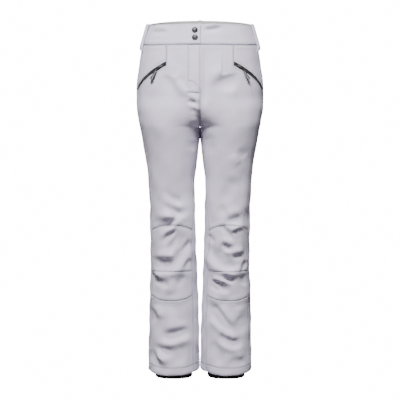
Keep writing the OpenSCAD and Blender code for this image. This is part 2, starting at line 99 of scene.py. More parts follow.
# ---- Interpolation -------------------------------------------------------------------------
def smooth(t):
    u = np.clip(t, 0, 1)
    return u * u * (3 - 2 * u)


def lerp(a, b, t):
    return a + (b - a) * t


def unit(v):
    return v / np.linalg.norm(v, axis=-1, keepdims=True)


def table_slopes(table):
    """Slopes at the stations that never overshoot: the harmonic mean of the two beside each."""
    rates = np.diff(table[:, 1:], axis=0) / np.diff(table[:, 0])[:, None]
    p, q = rates[:-1], rates[1:]
    total = np.where(p * q > 0, p + q, 1)
    middle = np.where(p * q > 0, 2 * p * q / total, 0)
    return np.vstack([rates[:1], middle, rates[-1:]])


SLOPES = table_slopes(STATIONS)


def at(h, column):
    h = np.asarray(h, float)
    i = np.clip(np.searchsorted(-STATIONS[:, 0], -h, side="right") - 1, 0, len(STATIONS) - 2)
    w = STATIONS[i + 1, 0] - STATIONS[i, 0]
    u = (h - STATIONS[i, 0]) / w
    low = (2 * u**3 - 3 * u**2 + 1) * STATIONS[i, column]
    high = (3 * u**2 - 2 * u**3) * STATIONS[i + 1, column]
    bend = (u**3 - 2 * u**2 + u) * SLOPES[i, column - 1] + (u**3 - u**2) * SLOPES[i + 1, column - 1]
    return low + high + w * bend


# ---- The plain body, as in the frame ---------------------------------------------------------
def power(v):
    return np.sign(v) * np.abs(v) ** (2 / SQUARENESS)


def skin(h, a):
    h, a = np.broadcast_arrays(np.asarray(h, float), np.radians(a))
    outer, reach = at(h, 1), at(h, 2)
    depth = np.where(np.sin(a) < 0, at(h, 3), at(h, 4))
    x = (outer - reach) / 2 + (outer + reach) / 2 * power(np.cos(a))
    y = at(h, 5) + depth * power(np.sin(a))
    rise = smooth((h - LEVEL) / (BAND - LEVEL)) * (TILT * y + DISH * y * y)
    return np.stack([x, y, h + rise], -1)


def normal(h, a):
    step = 0.5
    across = skin(h, a + step) - skin(h, a - step)
    up = skin(h + step, a) - skin(h - step, a)
    return unit(np.cross(across, up))


def front_angle(h, x):
    outer, reach = at(h, 1), at(h, 2)
    u = (x - (outer - reach) / 2) / ((outer + reach) / 2)
    return -np.degrees(np.arccos(np.clip(np.sign(u) * np.abs(u) ** (SQUARENESS / 2), -1, 1)))


def side_seam(h):
    return -lerp(12, 27, smooth((CROTCH - h) / 300))


def inseam_turn(h):
    return 40 * smooth((CROTCH - h) / 340)


def front_inner(h):
    return np.where(h > CROTCH, front_angle(h, GAP / 2), inseam_turn(h) - 180)


def back_inner(h):
    return np.where(h > CROTCH, -front_angle(h, GAP / 2), 180 + inseam_turn(h))


def front_share(h, a):
    """0 at the front panel's inner edge, 1 at the side seam."""
    return (a - front_inner(h)) / (side_seam(h) - front_inner(h))


def arch(s):
    return 4 * s * (1 - s)


# ---- Pocket zips: the circle that the slider runs on ------------------------------------------
def circle_centre(a, b, c):
    u, v = b - a, c - a
    w = np.cross(u, v)
    return a + np.cross(w, (v @ v) * u - (u @ u) * v) / (2 * w @ w)


zip_start = skin(-113, front_angle(-113, YOKE_X))
zip_mid = skin(-145, front_angle(-145, 145))
zip_end = skin(-186, side_seam(-186) - 3)
ZIP_C = circle_centre(zip_start, zip_mid, zip_end)
ZIP_R = float(np.linalg.norm(zip_start - ZIP_C))
ZIP_AXIS = unit(np.cross(zip_start - ZIP_C, zip_end - ZIP_C))
ZIP_OUT = unit(zip_start - ZIP_C)
ZIP_ON = np.cross(ZIP_AXIS, ZIP_OUT)
ZIP_SWEEP = 2 * math.asin(float(np.linalg.norm(zip_end - zip_start)) / 2 / ZIP_R)


def zip_point(turn, out=0.0, across=0.0):
    """A point by the zip's circle: turn radians along it, out from it and across it, upwards."""
    turn = np.asarray(turn, float)[..., None]
    return ZIP_C + (ZIP_R + out) * (ZIP_OUT * np.cos(turn) + ZIP_ON * np.sin(turn)) + across * ZIP_AXIS


def pocket_angle(h, s):
    """The angle of a line that runs down the front at share s from the yoke seam to the side seam."""
    return lerp(front_angle(h, YOKE_X), side_seam(h), s)


def zip_height(s, across):
    """The side height at which that line meets the zip, or a line beside it."""
    heights = np.linspace(-60, -240, 721)
    s, across = np.broadcast_arrays(np.asarray(s, float), across)
    found = [np.interp(-w, -((skin(heights, pocket_angle(heights, t)) - ZIP_C) @ ZIP_AXIS), heights)
             for t, w in zip(s.ravel(), across.ravel())]
    return np.array(found).reshape(s.shape)


def opening(s):
    """Half the gap that the zip shows in: it closes past the zip's outer end."""
    return (TAPE_W / 2 + 1.0) * (1 - 0.93 * smooth((s - 0.94) / 0.06))


# ---- Folds ---------------------------------------------------------------------------------
# A fold is (kind, height, width, points in X and Z). A "drape" stands out above its line and falls back
# below it, so that its line faces down, and a negative one faces up. A "ridge" stands out along its
# line, and a negative one is a valley.
DRAPE, RIDGE = "drape", "ridge"
FOLD_FADE = 0.4                                 # the share of a fold in which each end fades out
BROAD, BROAD_SCALE, NARROW_SCALE = 14, (1.9, 1.05), (1.5, 1.3)    # height and width factors
FRONT_FOLDS = [
    # Hips: soft smiles that hang from the pockets towards the fly's lower end
    (DRAPE, 3.2, 24, [(24, -196), (44, -170), (65, -155), (92, -146), (120, -141)]),
    (DRAPE, -1.8, 20, [(60, -196), (84, -186), (112, -182)]),
    (DRAPE, 2.0, 20, [(-112, -146), (-88, -152), (-66, -174), (-46, -195)]),
    (DRAPE, -2.2, 16, [(-76, -160), (-56, -172), (-38, -186), (-16, -206)]),
    (RIDGE, -4.4, 8, [(17, -36), (18, -90), (17, -150), (13, -205), (9, -250)]),
    (DRAPE, 2.6, 7, [(5, -17), (22, -18), (44, -15), (70, -10)]),
    (DRAPE, 1.6, 7, [(-140, -24), (-112, -22), (-84, -24)]),
    (DRAPE, 2.6, 8, [(-36, -216), (-18, -222), (-3, -232)]),
    (DRAPE, -1.6, 6, [(-38, -226), (-26, -230), (-12, -236)]),
    (DRAPE, 2.0, 7, [(-26, -240), (-14, -246), (-3, -256)]),
    (DRAPE, -1.6, 8, [(-24, -262), (-12, -272), (-4, -282)]),
    (RIDGE, 1.6, 10, [(12, -215), (13, -260), (11, -300)]),
    (RIDGE, -2.0, 14, [(18, -312), (26, -340), (30, -380)]),
    (RIDGE, -1.4, 12, [(-18, -330), (-24, -365)]),
    (DRAPE, -1.4, 18, [(96, -362), (110, -380), (122, -392)]),
    (RIDGE, 1.6, 26, [(-100, -230), (-92, -330), (-86, -430), (-84, -490)]),
    (RIDGE, 1.6, 26, [(100, -240), (92, -330), (86, -430), (80, -500)]),
    (RIDGE, -1.5, 22, [(-138, -260), (-128, -360), (-118, -460)]),
    (RIDGE, 3.0, 20, [(-38, -470), (-34, -540), (-30, -600), (-28, -640)]),
    (RIDGE, -3.0, 18, [(96, -430), (84, -470), (78, -520)]),
    (RIDGE, 2.4, 16, [(36, -400), (34, -470), (36, -540), (44, -580)]),
    (RIDGE, 2.2, 14, [(130, -420), (126, -500), (124, -560)]),
    (DRAPE, -2.4, 14, [(-110, -470), (-88, -500), (-62, -512), (-40, -506)]),
    # Right knee
    (DRAPE, -3.2, 14, [(-112, -494), (-90, -529), (-68, -546), (-52, -544), (-38, -526)]),
    (DRAPE, 3.4, 12, [(-66, -553), (-86, -560), (-108, -570), (-124, -576)]),
    (DRAPE, -2.6, 7, [(-104, -588), (-85, -578), (-68, -563), (-52, -554)]),
    (DRAPE, 4.2, 8, [(-66, -580), (-80, -590), (-94, -600), (-118, -625)]),
    (RIDGE, -6.1, 7, [(-52, -588), (-67, -614), (-80, -634), (-92, -650)]),
    (RIDGE, -3.2, 6, [(-40, -592), (-54, -620), (-66, -642)]),
    (DRAPE, -1.6, 7, [(-76, -652), (-90, -656)]),
    (DRAPE, 4.6, 12, [(-66, -678), (-84, -672), (-100, -669), (-116, -672), (-130, -680)]),
    (DRAPE, -4.4, 13, [(-136, -688), (-116, -701), (-92, -706), (-68, -692), (-52, -670), (-32, -632),
                       (-20, -606)]),
    (DRAPE, 4.2, 8, [(-134, -702), (-122, -722), (-99, -745)]),
    (RIDGE, -2.9, 5, [(-26, -614), (-38, -636), (-46, -652)]),
    (RIDGE, -2.9, 6, [(-27, -668), (-38, -684), (-50, -706)]),
    (RIDGE, -2.9, 8, [(-40, -716), (-54, -732), (-72, -752)]),
    (RIDGE, 2.5, 10, [(-76, -722), (-84, -750), (-80, -775)]),
    (DRAPE, 2.4, 14, [(-128, -548), (-100, -556), (-70, -558)]),
    (RIDGE, -4.7, 9, [(-118, -712), (-104, -736), (-96, -758)]),
    # Left knee
    (RIDGE, -2.5, 12, [(44, -524), (62, -530), (78, -526)]),
    (DRAPE, 2.6, 13, [(74, -556), (98, -548), (124, -546)]),
    (DRAPE, -3.2, 11, [(62, -576), (84, -573), (104, -569), (122, -566)]),
    (RIDGE, -4.7, 5, [(48, -586), (62, -580), (76, -592), (84, -608), (88, -622)]),
    (DRAPE, 2.6, 5, [(86, -597), (98, -589), (110, -583), (134, -588)]),
    (DRAPE, 4.2, 9, [(58, -620), (74, -627), (98, -640)]),
    (DRAPE, -2.4, 7, [(64, -640), (80, -645), (94, -650)]),
    (DRAPE, 3.8, 9, [(84, -664), (106, -655), (130, -655)]),
    (RIDGE, -3.6, 9, [(60, -634), (66, -660), (72, -684)]),
    (RIDGE, -3.2, 6, [(18, -602), (30, -612), (36, -630)]),
    (DRAPE, -4.6, 12, [(16, -630), (24, -648), (36, -668), (52, -686), (74, -698), (98, -698),
                       (116, -686), (130, -664)]),
    (RIDGE, -4.3, 5, [(132, -672), (125, -692), (113, -709)]),
    (DRAPE, 4.6, 7, [(60, -711), (84, -718), (106, -728)]),
    (DRAPE, -3.0, 6, [(58, -720), (76, -732), (96, -742)]),
    (DRAPE, 4.2, 7, [(30, -729), (52, -734), (82, -747)]),
    (RIDGE, -4.0, 9, [(118, -712), (124, -732), (120, -750)]),
    (RIDGE, -2.9, 5, [(28, -742), (42, -754), (56, -768)]),
    (DRAPE, -2.0, 9, [(40, -752), (66, -764), (92, -766)]),
    # Right shin
    (DRAPE, 3.8, 12, [(-138, -806), (-128, -826), (-116, -850)]),
    (DRAPE, 3.8, 16, [(-110, -884), (-70, -876), (-28, -860)]),
    (DRAPE, -3.8, 16, [(-108, -906), (-66, -896), (-22, -880)]),
    (DRAPE, 3.5, 12, [(-132, -912), (-98, -922), (-60, -926)]),
    (DRAPE, -3.2, 12, [(-130, -936), (-106, -944), (-82, -951)]),
    (DRAPE, 3.8, 10, [(-134, -926), (-120, -950), (-98, -982)]),
    (RIDGE, -2.9, 10, [(-44, -900), (-56, -940), (-60, -975)]),
    (RIDGE, 2.9, 16, [(-84, -800), (-82, -840), (-70, -870)]),
    (RIDGE, -4.2, 14, [(40, -786), (56, -820), (72, -868)]),
    (RIDGE, -4.7, 12, [(122, -800), (120, -850), (114, -890)]),
    # Left shin
    (DRAPE, 4.3, 14, [(26, -784), (60, -828), (98, -880)]),
    (DRAPE, -3.8, 14, [(32, -828), (60, -858), (96, -888)]),
    (DRAPE, 4.3, 10, [(60, -876), (74, -892), (94, -901), (120, -902)]),
    (DRAPE, -4.3, 10, [(52, -880), (74, -910), (100, -918), (124, -907)]),
    (RIDGE, -3.2, 9, [(36, -900), (52, -940), (58, -975)]),
    (RIDGE, 2.5, 14, [(110, -800), (118, -850)]),
    (DRAPE, 2.6, 12, [(84, -946), (110, -954), (134, -948)]),
]
BACK_FOLDS = [
    (DRAPE, 3.4, 20, [(-130, -286), (-92, -312), (-48, -314), (-16, -296)]),
    (DRAPE, 3.0, 20, [(128, -292), (90, -316), (50, -312), (18, -296)]),
    (DRAPE, -2.4, 16, [(-120, -340), (-84, -352), (-40, -344)]),
    (DRAPE, -2.2, 16, [(122, -346), (86, -352), (42, -342)]),
    (RIDGE, -2.2, 16, [(-6, -120), (5, -200), (-3, -262)]),
    (DRAPE, 2.0, 16, [(-134, -212), (-100, -226), (-62, -222)]),
    (DRAPE, 1.8, 14, [(136, -206), (104, -216), (70, -214)]),
    (DRAPE, 2.0, 13, [(-132, -630), (-92, -644), (-40, -632)]),
    (DRAPE, -1.9, 13, [(-134, -658), (-88, -668), (-34, -662)]),
    (DRAPE, 2.4, 12, [(-128, -696), (-84, -688), (-30, -700)]),
    (DRAPE, -2.0, 13, [(-130, -724), (-88, -716), (-36, -726)]),
    (DRAPE, 1.6, 12, [(-128, -752), (-84, -760), (-36, -748)]),
    (DRAPE, 2.1, 13, [(130, -640), (88, -634), (36, -648)]),
    (DRAPE, -1.9, 13, [(132, -668), (86, -664), (34, -674)]),
    (DRAPE, 2.2, 12, [(128, -690), (90, -702), (32, -694)]),
    (DRAPE, -2.0, 13, [(130, -722), (86, -734), (34, -720)]),
    (DRAPE, 1.5, 12, [(126, -764), (84, -756), (38, -766)]),
    (DRAPE, 2.4, 14, [(-136, -878), (-86, -894), (-34, -880)]),
    (DRAPE, -2.2, 14, [(-132, -920), (-84, -930), (-40, -916)]),
    (DRAPE, 2.4, 14, [(134, -860), (88, -886), (34, -896)]),
    (DRAPE, -2.2, 14, [(132, -906), (84, -924), (36, -930)]),
    (RIDGE, 2.0, 26, [(-84, -380), (-80, -470), (-80, -560)]),
    (RIDGE, 2.0, 26, [(86, -380), (82, -470), (80, -560)]),
]


def smooth_line(points, per_span=6):
    """A Catmull-Rom curve through the points."""
    p = np.array(points, float)
    p = np.vstack([2 * p[0] - p[1], p, 2 * p[-1] - p[-2]])
    t = np.linspace(0, 1, per_span, endpoint=False)[:, None]
    out = []
    for a, b, c, d in zip(p[:-3], p[1:-2], p[2:-1], p[3:]):
        out.append(0.5 * (2 * b + (c - a) * t + (2 * a - 5 * b + 4 * c - d) * t**2
                          + (3 * b - a - 3 * c + d) * t**3))
    return np.vstack([*out, p[-2:-1]])


def fold_height(q, kind, height, width, line):
    """What one fold adds at the points q, in X and Z, fading out at its ends."""
    a, b = line[:-1], line[1:]
    ab = b - a
    t = np.clip(((q[:, None] - a) * ab).sum(-1) / (ab * ab).sum(-1), 0, 1)
    away = q[:, None] - (a + t[..., None] * ab)
    far = np.linalg.norm(away, axis=-1)
    k = far.argmin(1)
    i = np.arange(len(q))
    share = (k + t[i, k]) / len(a)
    fade = smooth(share / FOLD_FADE) * smooth((1 - share) / FOLD_FADE)
    r = far[i, k] / width
    bell = np.exp(-r * r)
    if kind == RIDGE:
        return height * fade * bell
    up = np.stack([-ab[:, 1], ab[:, 0]], -1) * np.sign(ab[:, :1] + 1e-9)
    above = np.sign((away[i, k] * up[k]).sum(-1))
    return height * 2.33 * fade * r * bell * above


def zip_distance(p):
    """Distance to the nearer pocket zip."""
    line = zip_point(np.linspace(0, ZIP_SWEEP, 24))
    q = np.abs(p) * [1, 0, 0] + p * [0, 1, 1]
    return np.sqrt(((q[:, None] - line) ** 2).sum(-1)).min(1)


def relief(p, n):
    """How far the worn-in cloth stands off the plain body, in mm."""
    q, m = p.reshape(-1, 3), n.reshape(-1, 3)
    x, y, z = q.T
    low = smooth((-420 - z) / 120)                          # the legs are the more crumpled part
    d = lerp(0.5, 1.5, low) * np.sin(x / 15 + z / 26 + 1.3) * np.sin(z / 33 - y / 21)
    d += lerp(0.35, 0.8, low) * np.sin(x / 9 - z / 14 + 0.4) * np.sin(z / 19 + y / 13 + 2)
    for folds, facing in ((FRONT_FOLDS, -m[:, 1]), (BACK_FOLDS, m[:, 1])):
        weight = smooth((facing - 0.02) / 0.4)
        for kind, height, width, points in folds:
            line = smooth_line(points)
            near = (q[:, ::2] > line.min(0) - 4 * width) & (q[:, ::2] < line.max(0) + 4 * width)
            k = np.flatnonzero(near.all(1) & (weight > 0))
            if len(k):
                deep, wide = BROAD_SCALE if width >= BROAD else NARROW_SCALE
                d[k] += weight[k] * fold_height(q[k][:, ::2], kind, deep * height, wide * width, line)
    near_zip = (z < -80) & (z > -230) & (np.abs(x) > 60) & (y < 10)
    if near_zip.any():
        far = zip_distance(q[near_zip])
        room = 0.4 + 6 * smooth((far - 36) / 26)             # the pull sweeps over the cloth here
        d[near_zip] = np.minimum(d[near_zip] * (1 - np.exp(-(far / 15) ** 2)), room)
    under_pull = np.exp(-((z + 205) / 24) ** 2 - ((y + 38) / 16) ** 2) * (np.abs(x) > 150)
    d -= 1.3 * under_pull                                    # where an open pocket's pull lies
    flap = smooth((x + 44) / 6) * smooth((8 - x) / 6) * smooth((z + 214) / 10) * (y < 0)
    d = np.where(d < 0, d * (1 - flap), d)                   # the fly zip's slider runs close behind
    deepest = lerp(8.0, 4.2, smooth((-790 - z) / 40))       # the gaiter is close behind the shin
    d = np.where(d < 0, -deepest * np.tanh(-d / deepest), d)
    apart = np.abs(x) - 0.3                                 # the thighs meet below the crotch
    inner = smooth((-m[:, 0] * np.sign(x) - 0.35) / 0.5) * smooth((9 - apart) / 6)
    d += inner * smooth((-272 - z) / 18) * smooth((z + 352) / 44) * np.clip(apart, 0, 3.5)
    calm = smooth((x + 50) / 10) * smooth((4 - x) / 6) * smooth((z + 58) / 8) * (y < 0)
    d *= 1 - calm
    return d.reshape(p.shape[:-1])


def lift(p):
    """How the right front rises to the tab and the flap that continue it."""
    x, y, z = p[..., 0], p[..., 1], p[..., 2]
    high = lerp(FLAP_OFF, TAB_OFF, smooth((z + 68) / 4))
    below = (x > -FLY_W + 0.2) & (z < FLY_END)
    side = np.where(below, smooth(-x / FLY_W), smooth((x + 76) / 40) * (x < -FLY_W + 0.2))
    return high * side * smooth((z + 232) / 34) * (y < 0)


def surface(h, a, side=1, off=0.0, rising=True):
    """Points of the cloth's outer face, and the way it faces, off mm further out."""
    p, n = skin(h, a) * [side, 1, 1], normal(h, a) * [side, 1, 1]
    d = relief(p, n) + off
    if rising:
        d = d + lift(p)
    return p + n * d[..., None], n


def groove(d):
    """The dip along a seam, the welt beside it and the cloth that swells past the stitching."""
    return (-1.0 * np.exp(-((d / 1.5) ** 2)) + 0.35 * np.exp(-(((d - 3.4) / 2.0) ** 2))
            + 0.7 * np.exp(-(((d - 8.5) / 3.6) ** 2)))


def seam_shade(d):
    """How much painted shade darkens the cloth in a seam's groove and along the stitching beside it, from 0
    to 1.
    """
    return np.maximum(np.exp(-((d / 1.3) ** 2)), 0.5 * np.exp(-(((d - 2.4) / 0.9) ** 2)))


def pucker(d, p):
    """The small waves that sewing draws into the cloth."""
    return 0.22 * np.exp(-((d / 6) ** 2)) * np.sin((p[..., 0] + 1.3 * p[..., 2] + p[..., 1]) / 2.1)


def lip(d):
    """The rolled edge along a zip, with the dip of its topstitching."""
    return (1.1 * np.exp(-(((d - 1.6) / 1.7) ** 2)) - 0.7 * np.exp(-(((d - 5.4) / 1.3) ** 2))
            + 0.4 * np.exp(-(((d - 9) / 2.4) ** 2)))


# ---- Meshes --------------------------------------------------------------------------------
def make(name, points, faces, materials, kinds=None, sharp=50):
    """A smooth-shaded object from points in mm and arrays of faces, one array for each corner count."""
    mesh = bpy.data.meshes.new(name)
    loops = np.concatenate([f.ravel() for f in faces]).astype(np.int32)
    sizes = np.concatenate([np.full(len(f), f.shape[1]) for f in faces]).astype(np.int32)
    mesh.vertices.add(len(points))
    mesh.vertices.foreach_set("co", (np.asarray(points, float) * MM).astype(np.float32).ravel())
    mesh.loops.add(len(loops))
    mesh.loops.foreach_set("vertex_index", loops)
    mesh.polygons.add(len(sizes))
    mesh.polygons.foreach_set("loop_start", np.concatenate([[0], np.cumsum(sizes)[:-1]]).astype(np.int32))
    mesh.polygons.foreach_set("use_smooth", np.ones(len(sizes), bool))
    for m in materials:
        mesh.materials.append(m)
    if kinds is not None:
        mesh.polygons.foreach_set("material_index", np.asarray(kinds, np.int32))
    mesh.update(calc_edges=True)
    mesh.validate()
    mesh.set_sharp_from_angle(angle=math.radians(sharp))
    made = bpy.data.objects.new(name, mesh)
    bpy.context.scene.collection.objects.link(made)
    return made


def cells(rows, cols, wrap=True, closed=False):
    """The corners of a grid's quads, by row and column. wrap joins its columns, closed its rows."""
    i = np.arange(rows if closed else rows - 1)[:, None]
    j = np.arange(cols if wrap else cols - 1)[None, :]
    i2, j2 = (i + 1) % rows, (j + 1) % cols
    corners = (i * cols + j, i * cols + j2, i2 * cols + j2, i2 * cols + j)
    return np.stack(np.broadcast_arrays(*corners), -1)


def rim_of(quads, n):
    """The edges that only one quad has, as pairs of ends, where there are n points."""
    edges = np.concatenate([quads[:, [k, (k + 1) % 4]] for k in range(4)])
    return edges[~np.isin(edges[:, 0] * n + edges[:, 1], edges[:, 1] * n + edges[:, 0])]


def facing_out(quads, p, out):
    """The quads, turned over if their middle one looks inwards."""
    a, b, c, _ = quads[len(quads) // 2]
    return quads[:, ::-1] if np.cross(p[b] - p[a], p[c] - p[b]) @ out[a] < 0 else quads


def two_sided(quads, n):
    """Outer quads, the inner ones n points later, and the strip that joins them along the rim."""
    rim = rim_of(quads, n)
    strip = np.stack([rim[:, 1], rim[:, 0], rim[:, 0] + n, rim[:, 1] + n], -1)
    return np.vstack([quads, quads[:, ::-1] + n, strip])


def joined(parts):
    """One (points, faces) from several, each (points, [faces...])."""
    points, faces, start = [], {}, 0
    for p, fs in parts:
        points.append(p)
        for f in fs:
            faces.setdefault(f.shape[1], []).append(f + start)
        start += len(p)
    return np.vstack(points), [np.vstack(f) for f in faces.values()]


def fit(obj, body, slot, *nodes):
    """Parents a piece to the body it rides on, or only bakes its transform when it is given two bodies to
    blend between, and hides the nodes it replaces. slot is not used.
    """
    if isinstance(body, str):
        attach(obj, body)
    else:
        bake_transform(obj)
    if nodes:
        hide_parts(*nodes)
    return obj


def add_piece(name, part, material, body, slot, *nodes, sharp=50):
    """Makes one piece from (points, faces) and says where it belongs."""
    return fit(make(name, *part, [material], sharp=sharp), body, slot, *nodes)


def knee_blend(side_name):
    """The two bodies and the two levels between which a leg's cloth lies at the knee."""
    x = 77 * SIDES[side_name]
    start, end = ((x * MM, 0, z * MM) for z in (-604, -776))
    return "trousers", "lower_leg_" + side_name, start, end


FLY_BLEND = ("trousers", "fly_front", (-FLY_W * MM, -0.115, -0.129), (-27 * MM, -0.115, -0.129))


def run(length, step=STEP):
    """Shares 0 to 1 along a length in mm: step apart, and closer together beside its two ends."""
    edge = np.array((0, *SEAM_STEPS)) / length
    middle = np.linspace(edge[-1], 1 - edge[-1], max(3, round(length / step)))
    return np.concatenate([edge[:-1], middle, 1 - edge[-2::-1]])


def seam_distance(points, rim):
    """Each point's distance to the nearest of the rim's edges, given as pairs of ends."""
    share = np.linspace(0, 1, 6)[:, None, None]
    spots = (rim[:, 0] * (1 - share) + rim[:, 1] * share).reshape(-1, 3)
    tree = KDTree(len(spots))
    for i, spot in enumerate(spots):
        tree.insert(spot, i)
    tree.balance()
    return np.array([tree.find(p)[2] for p in points])


SEWN = []                                       # points of the plain body along rows of topstitching


def sewn_distance(p):
    """Distance to the nearest row of topstitching that crosses a panel, up to 9 mm."""
    rows = np.vstack(SEWN)
    low, high = p.min(0) - 9, p.max(0) + 9
    rows = rows[((rows > low) & (rows < high)).all(1)]
    if not len(rows):
        return np.full(len(p), 9.0)
    tree = KDTree(len(rows))
    for i, spot in enumerate(rows):
        tree.insert(spot, i)
    tree.balance()
    return np.minimum([tree.find(q)[2] for q in p], 9)


def panel(name, h, a, materials, side=1, keep=None, off=0.0, thick=CLOTH_T, rising=True,
          joined_at=None, lips_at=None):
    """A cut panel as a closed shell over a grid of heights and angles.

    keep says which of the grid's cells are cloth. joined_at picks the rim that goes on as the next
    piece, with no seam, and lips_at the rim that is rolled along a zip. Both see the rim's points.
    """
    quads = cells(*h.shape, wrap=False)
    used, quads = np.unique(quads if keep is None else quads[keep], return_inverse=True)
    h, a, count = h.ravel()[used], a.ravel()[used], len(used)
    plain_body = skin(h, a)
    p, out = surface(h, a, side, off, rising)
    quads = facing_out(quads.reshape(-1, 4), p, out)
    rim = rim_of(quads, count)
    middles = p[rim].mean(1)
    rolled = lips_at(middles) if lips_at else np.zeros(len(rim), bool)
    plain = joined_at(middles) if joined_at else np.zeros(len(rim), bool)
    # The second array is painted shade, 0 to 1: it darkens the cloth's colour in seam grooves, along
    # topstitching and in the dip beside a zip's lip.
    seams = rim[~rolled & ~plain]
    extra, painted_shade = np.zeros(count), np.zeros(count)
    if len(seams):
        d = seam_distance(p, p[seams])
        extra += groove(d) + pucker(d, p)
        painted_shade = seam_shade(d)
    if rolled.any():
        d = seam_distance(p, p[rim[rolled]])
        extra += lip(d)
        # painted shade in the dip of the lip's topstitching
        painted_shade = np.maximum(painted_shade, 0.75 * np.exp(-(((d - 5.4) / 1.0) ** 2)))
    if materials[0] is softshell:
        base = plain_body * [side, 1, 1]
        d = sewn_distance(base)
        extra += 0.5 * np.exp(-(((d - 3.4) / 1.8) ** 2)) - 0.9 * np.exp(-((d / 1.4) ** 2))
        extra += pucker(d, base)
        # painted shade along rows of topstitching
        painted_shade = np.maximum(painted_shade, np.exp(-((d / 1.4) ** 2)))
    extra *= smooth((np.linalg.norm(p - [0, 0, CROTCH], axis=1) - 4) / 14)  # flat where four seams meet
    points = np.vstack([p + out * extra[:, None], p - out * thick])
    kinds = np.concatenate([np.zeros(len(quads)), np.ones(len(quads)), np.zeros(len(rim))])
    made = make(name, points, [two_sided(quads, count)], materials, kinds)
    # the seam attribute carries the painted shade to the cloth's colour
    seam = made.data.attributes.new("seam", "FLOAT", "POINT")
    seam.data.foreach_set("value", np.concatenate([painted_shade, painted_shade]).astype(np.float32))
    corner = plain_body[quads]
    twice = np.cross(corner[:, 2] - corner[:, 0], corner[:, 3] - corner[:, 1])
    made["flat_area"] = float(np.linalg.norm(twice, axis=1).sum() / 2 * MM * MM)
    return made


def lathe(profile, sides=48):
    """A turned shape about Z from (radius, height) points that start and end on the axis."""
    turn = np.linspace(0, 2 * math.pi, sides, endpoint=False)
    rings = [np.stack([r * np.cos(turn), r * np.sin(turn), np.full(sides, z)], -1)
             for r, z in profile[1:-1]]
    n = len(rings)
    points = np.vstack([*rings, [[0, 0, profile[0][1]], [0, 0, profile[-1][1]]]])
    k = np.arange(sides)
    j = (k + 1) % sides
    last = (n - 1) * sides
    caps = [np.stack([j, k, np.full(sides, n * sides)], -1),
            np.stack([last + k, last + j, np.full(sides, n * sides + 1)], -1)]
    return points, [cells(n, sides).reshape(-1, 4), np.vstack(caps)]


def sweep(path, side, outline, closed=False):
    """An outline (across, out) carried along a path. side points across it at each point."""
    path, side = np.asarray(path, float), unit(np.asarray(side, float))
    along = np.roll(path, -1, 0) - np.roll(path, 1, 0) if closed else np.gradient(path, axis=0)
    out = unit(np.cross(side, along))
    outline = np.asarray(outline, float)
    rings = path[:, None] + side[:, None] * outline[:, :1] + out[:, None] * outline[:, 1:]
    n, k = rings.shape[:2]
    faces = [cells(n, k, closed=closed).reshape(-1, 4)]
    if not closed:
        faces.append(np.stack([np.arange(k)[::-1], (n - 1) * k + np.arange(k)]))
    return rings.reshape(-1, 3), faces


def rounded(width, height, r=0.3, steps=3):
    """The outline of a bar with round edges, as (across, out) points."""
    out = []
    for cx, cy, start in ((1, 1, 0), (-1, 1, 90), (-1, -1, 180), (1, -1, 270)):
        for k in range(steps + 1):
            t = math.radians(start + 90 * k / steps)
            out.append((cx * (width / 2 - r) + r * math.cos(t), cy * (height / 2 - r) + r * math.sin(t)))
    return out


def circle(r, sides=10):
    t = np.linspace(0, 2 * math.pi, sides, endpoint=False)
    return np.stack([r * np.cos(t), r * np.sin(t)], -1)


def placed(part, origin, x, y, z):
    """A part moved from its own axes to these."""
    points, faces = part
    basis = np.array([x, y, z], float)
    turned = np.linalg.det(basis) < 0
    return np.asarray(points) @ basis + origin, [f[:, ::-1] if turned else f for f in faces]


def mirrored(part, side):
    points, faces = part
    return points * [side, 1, 1], faces if side > 0 else [f[:, ::-1] for f in faces]


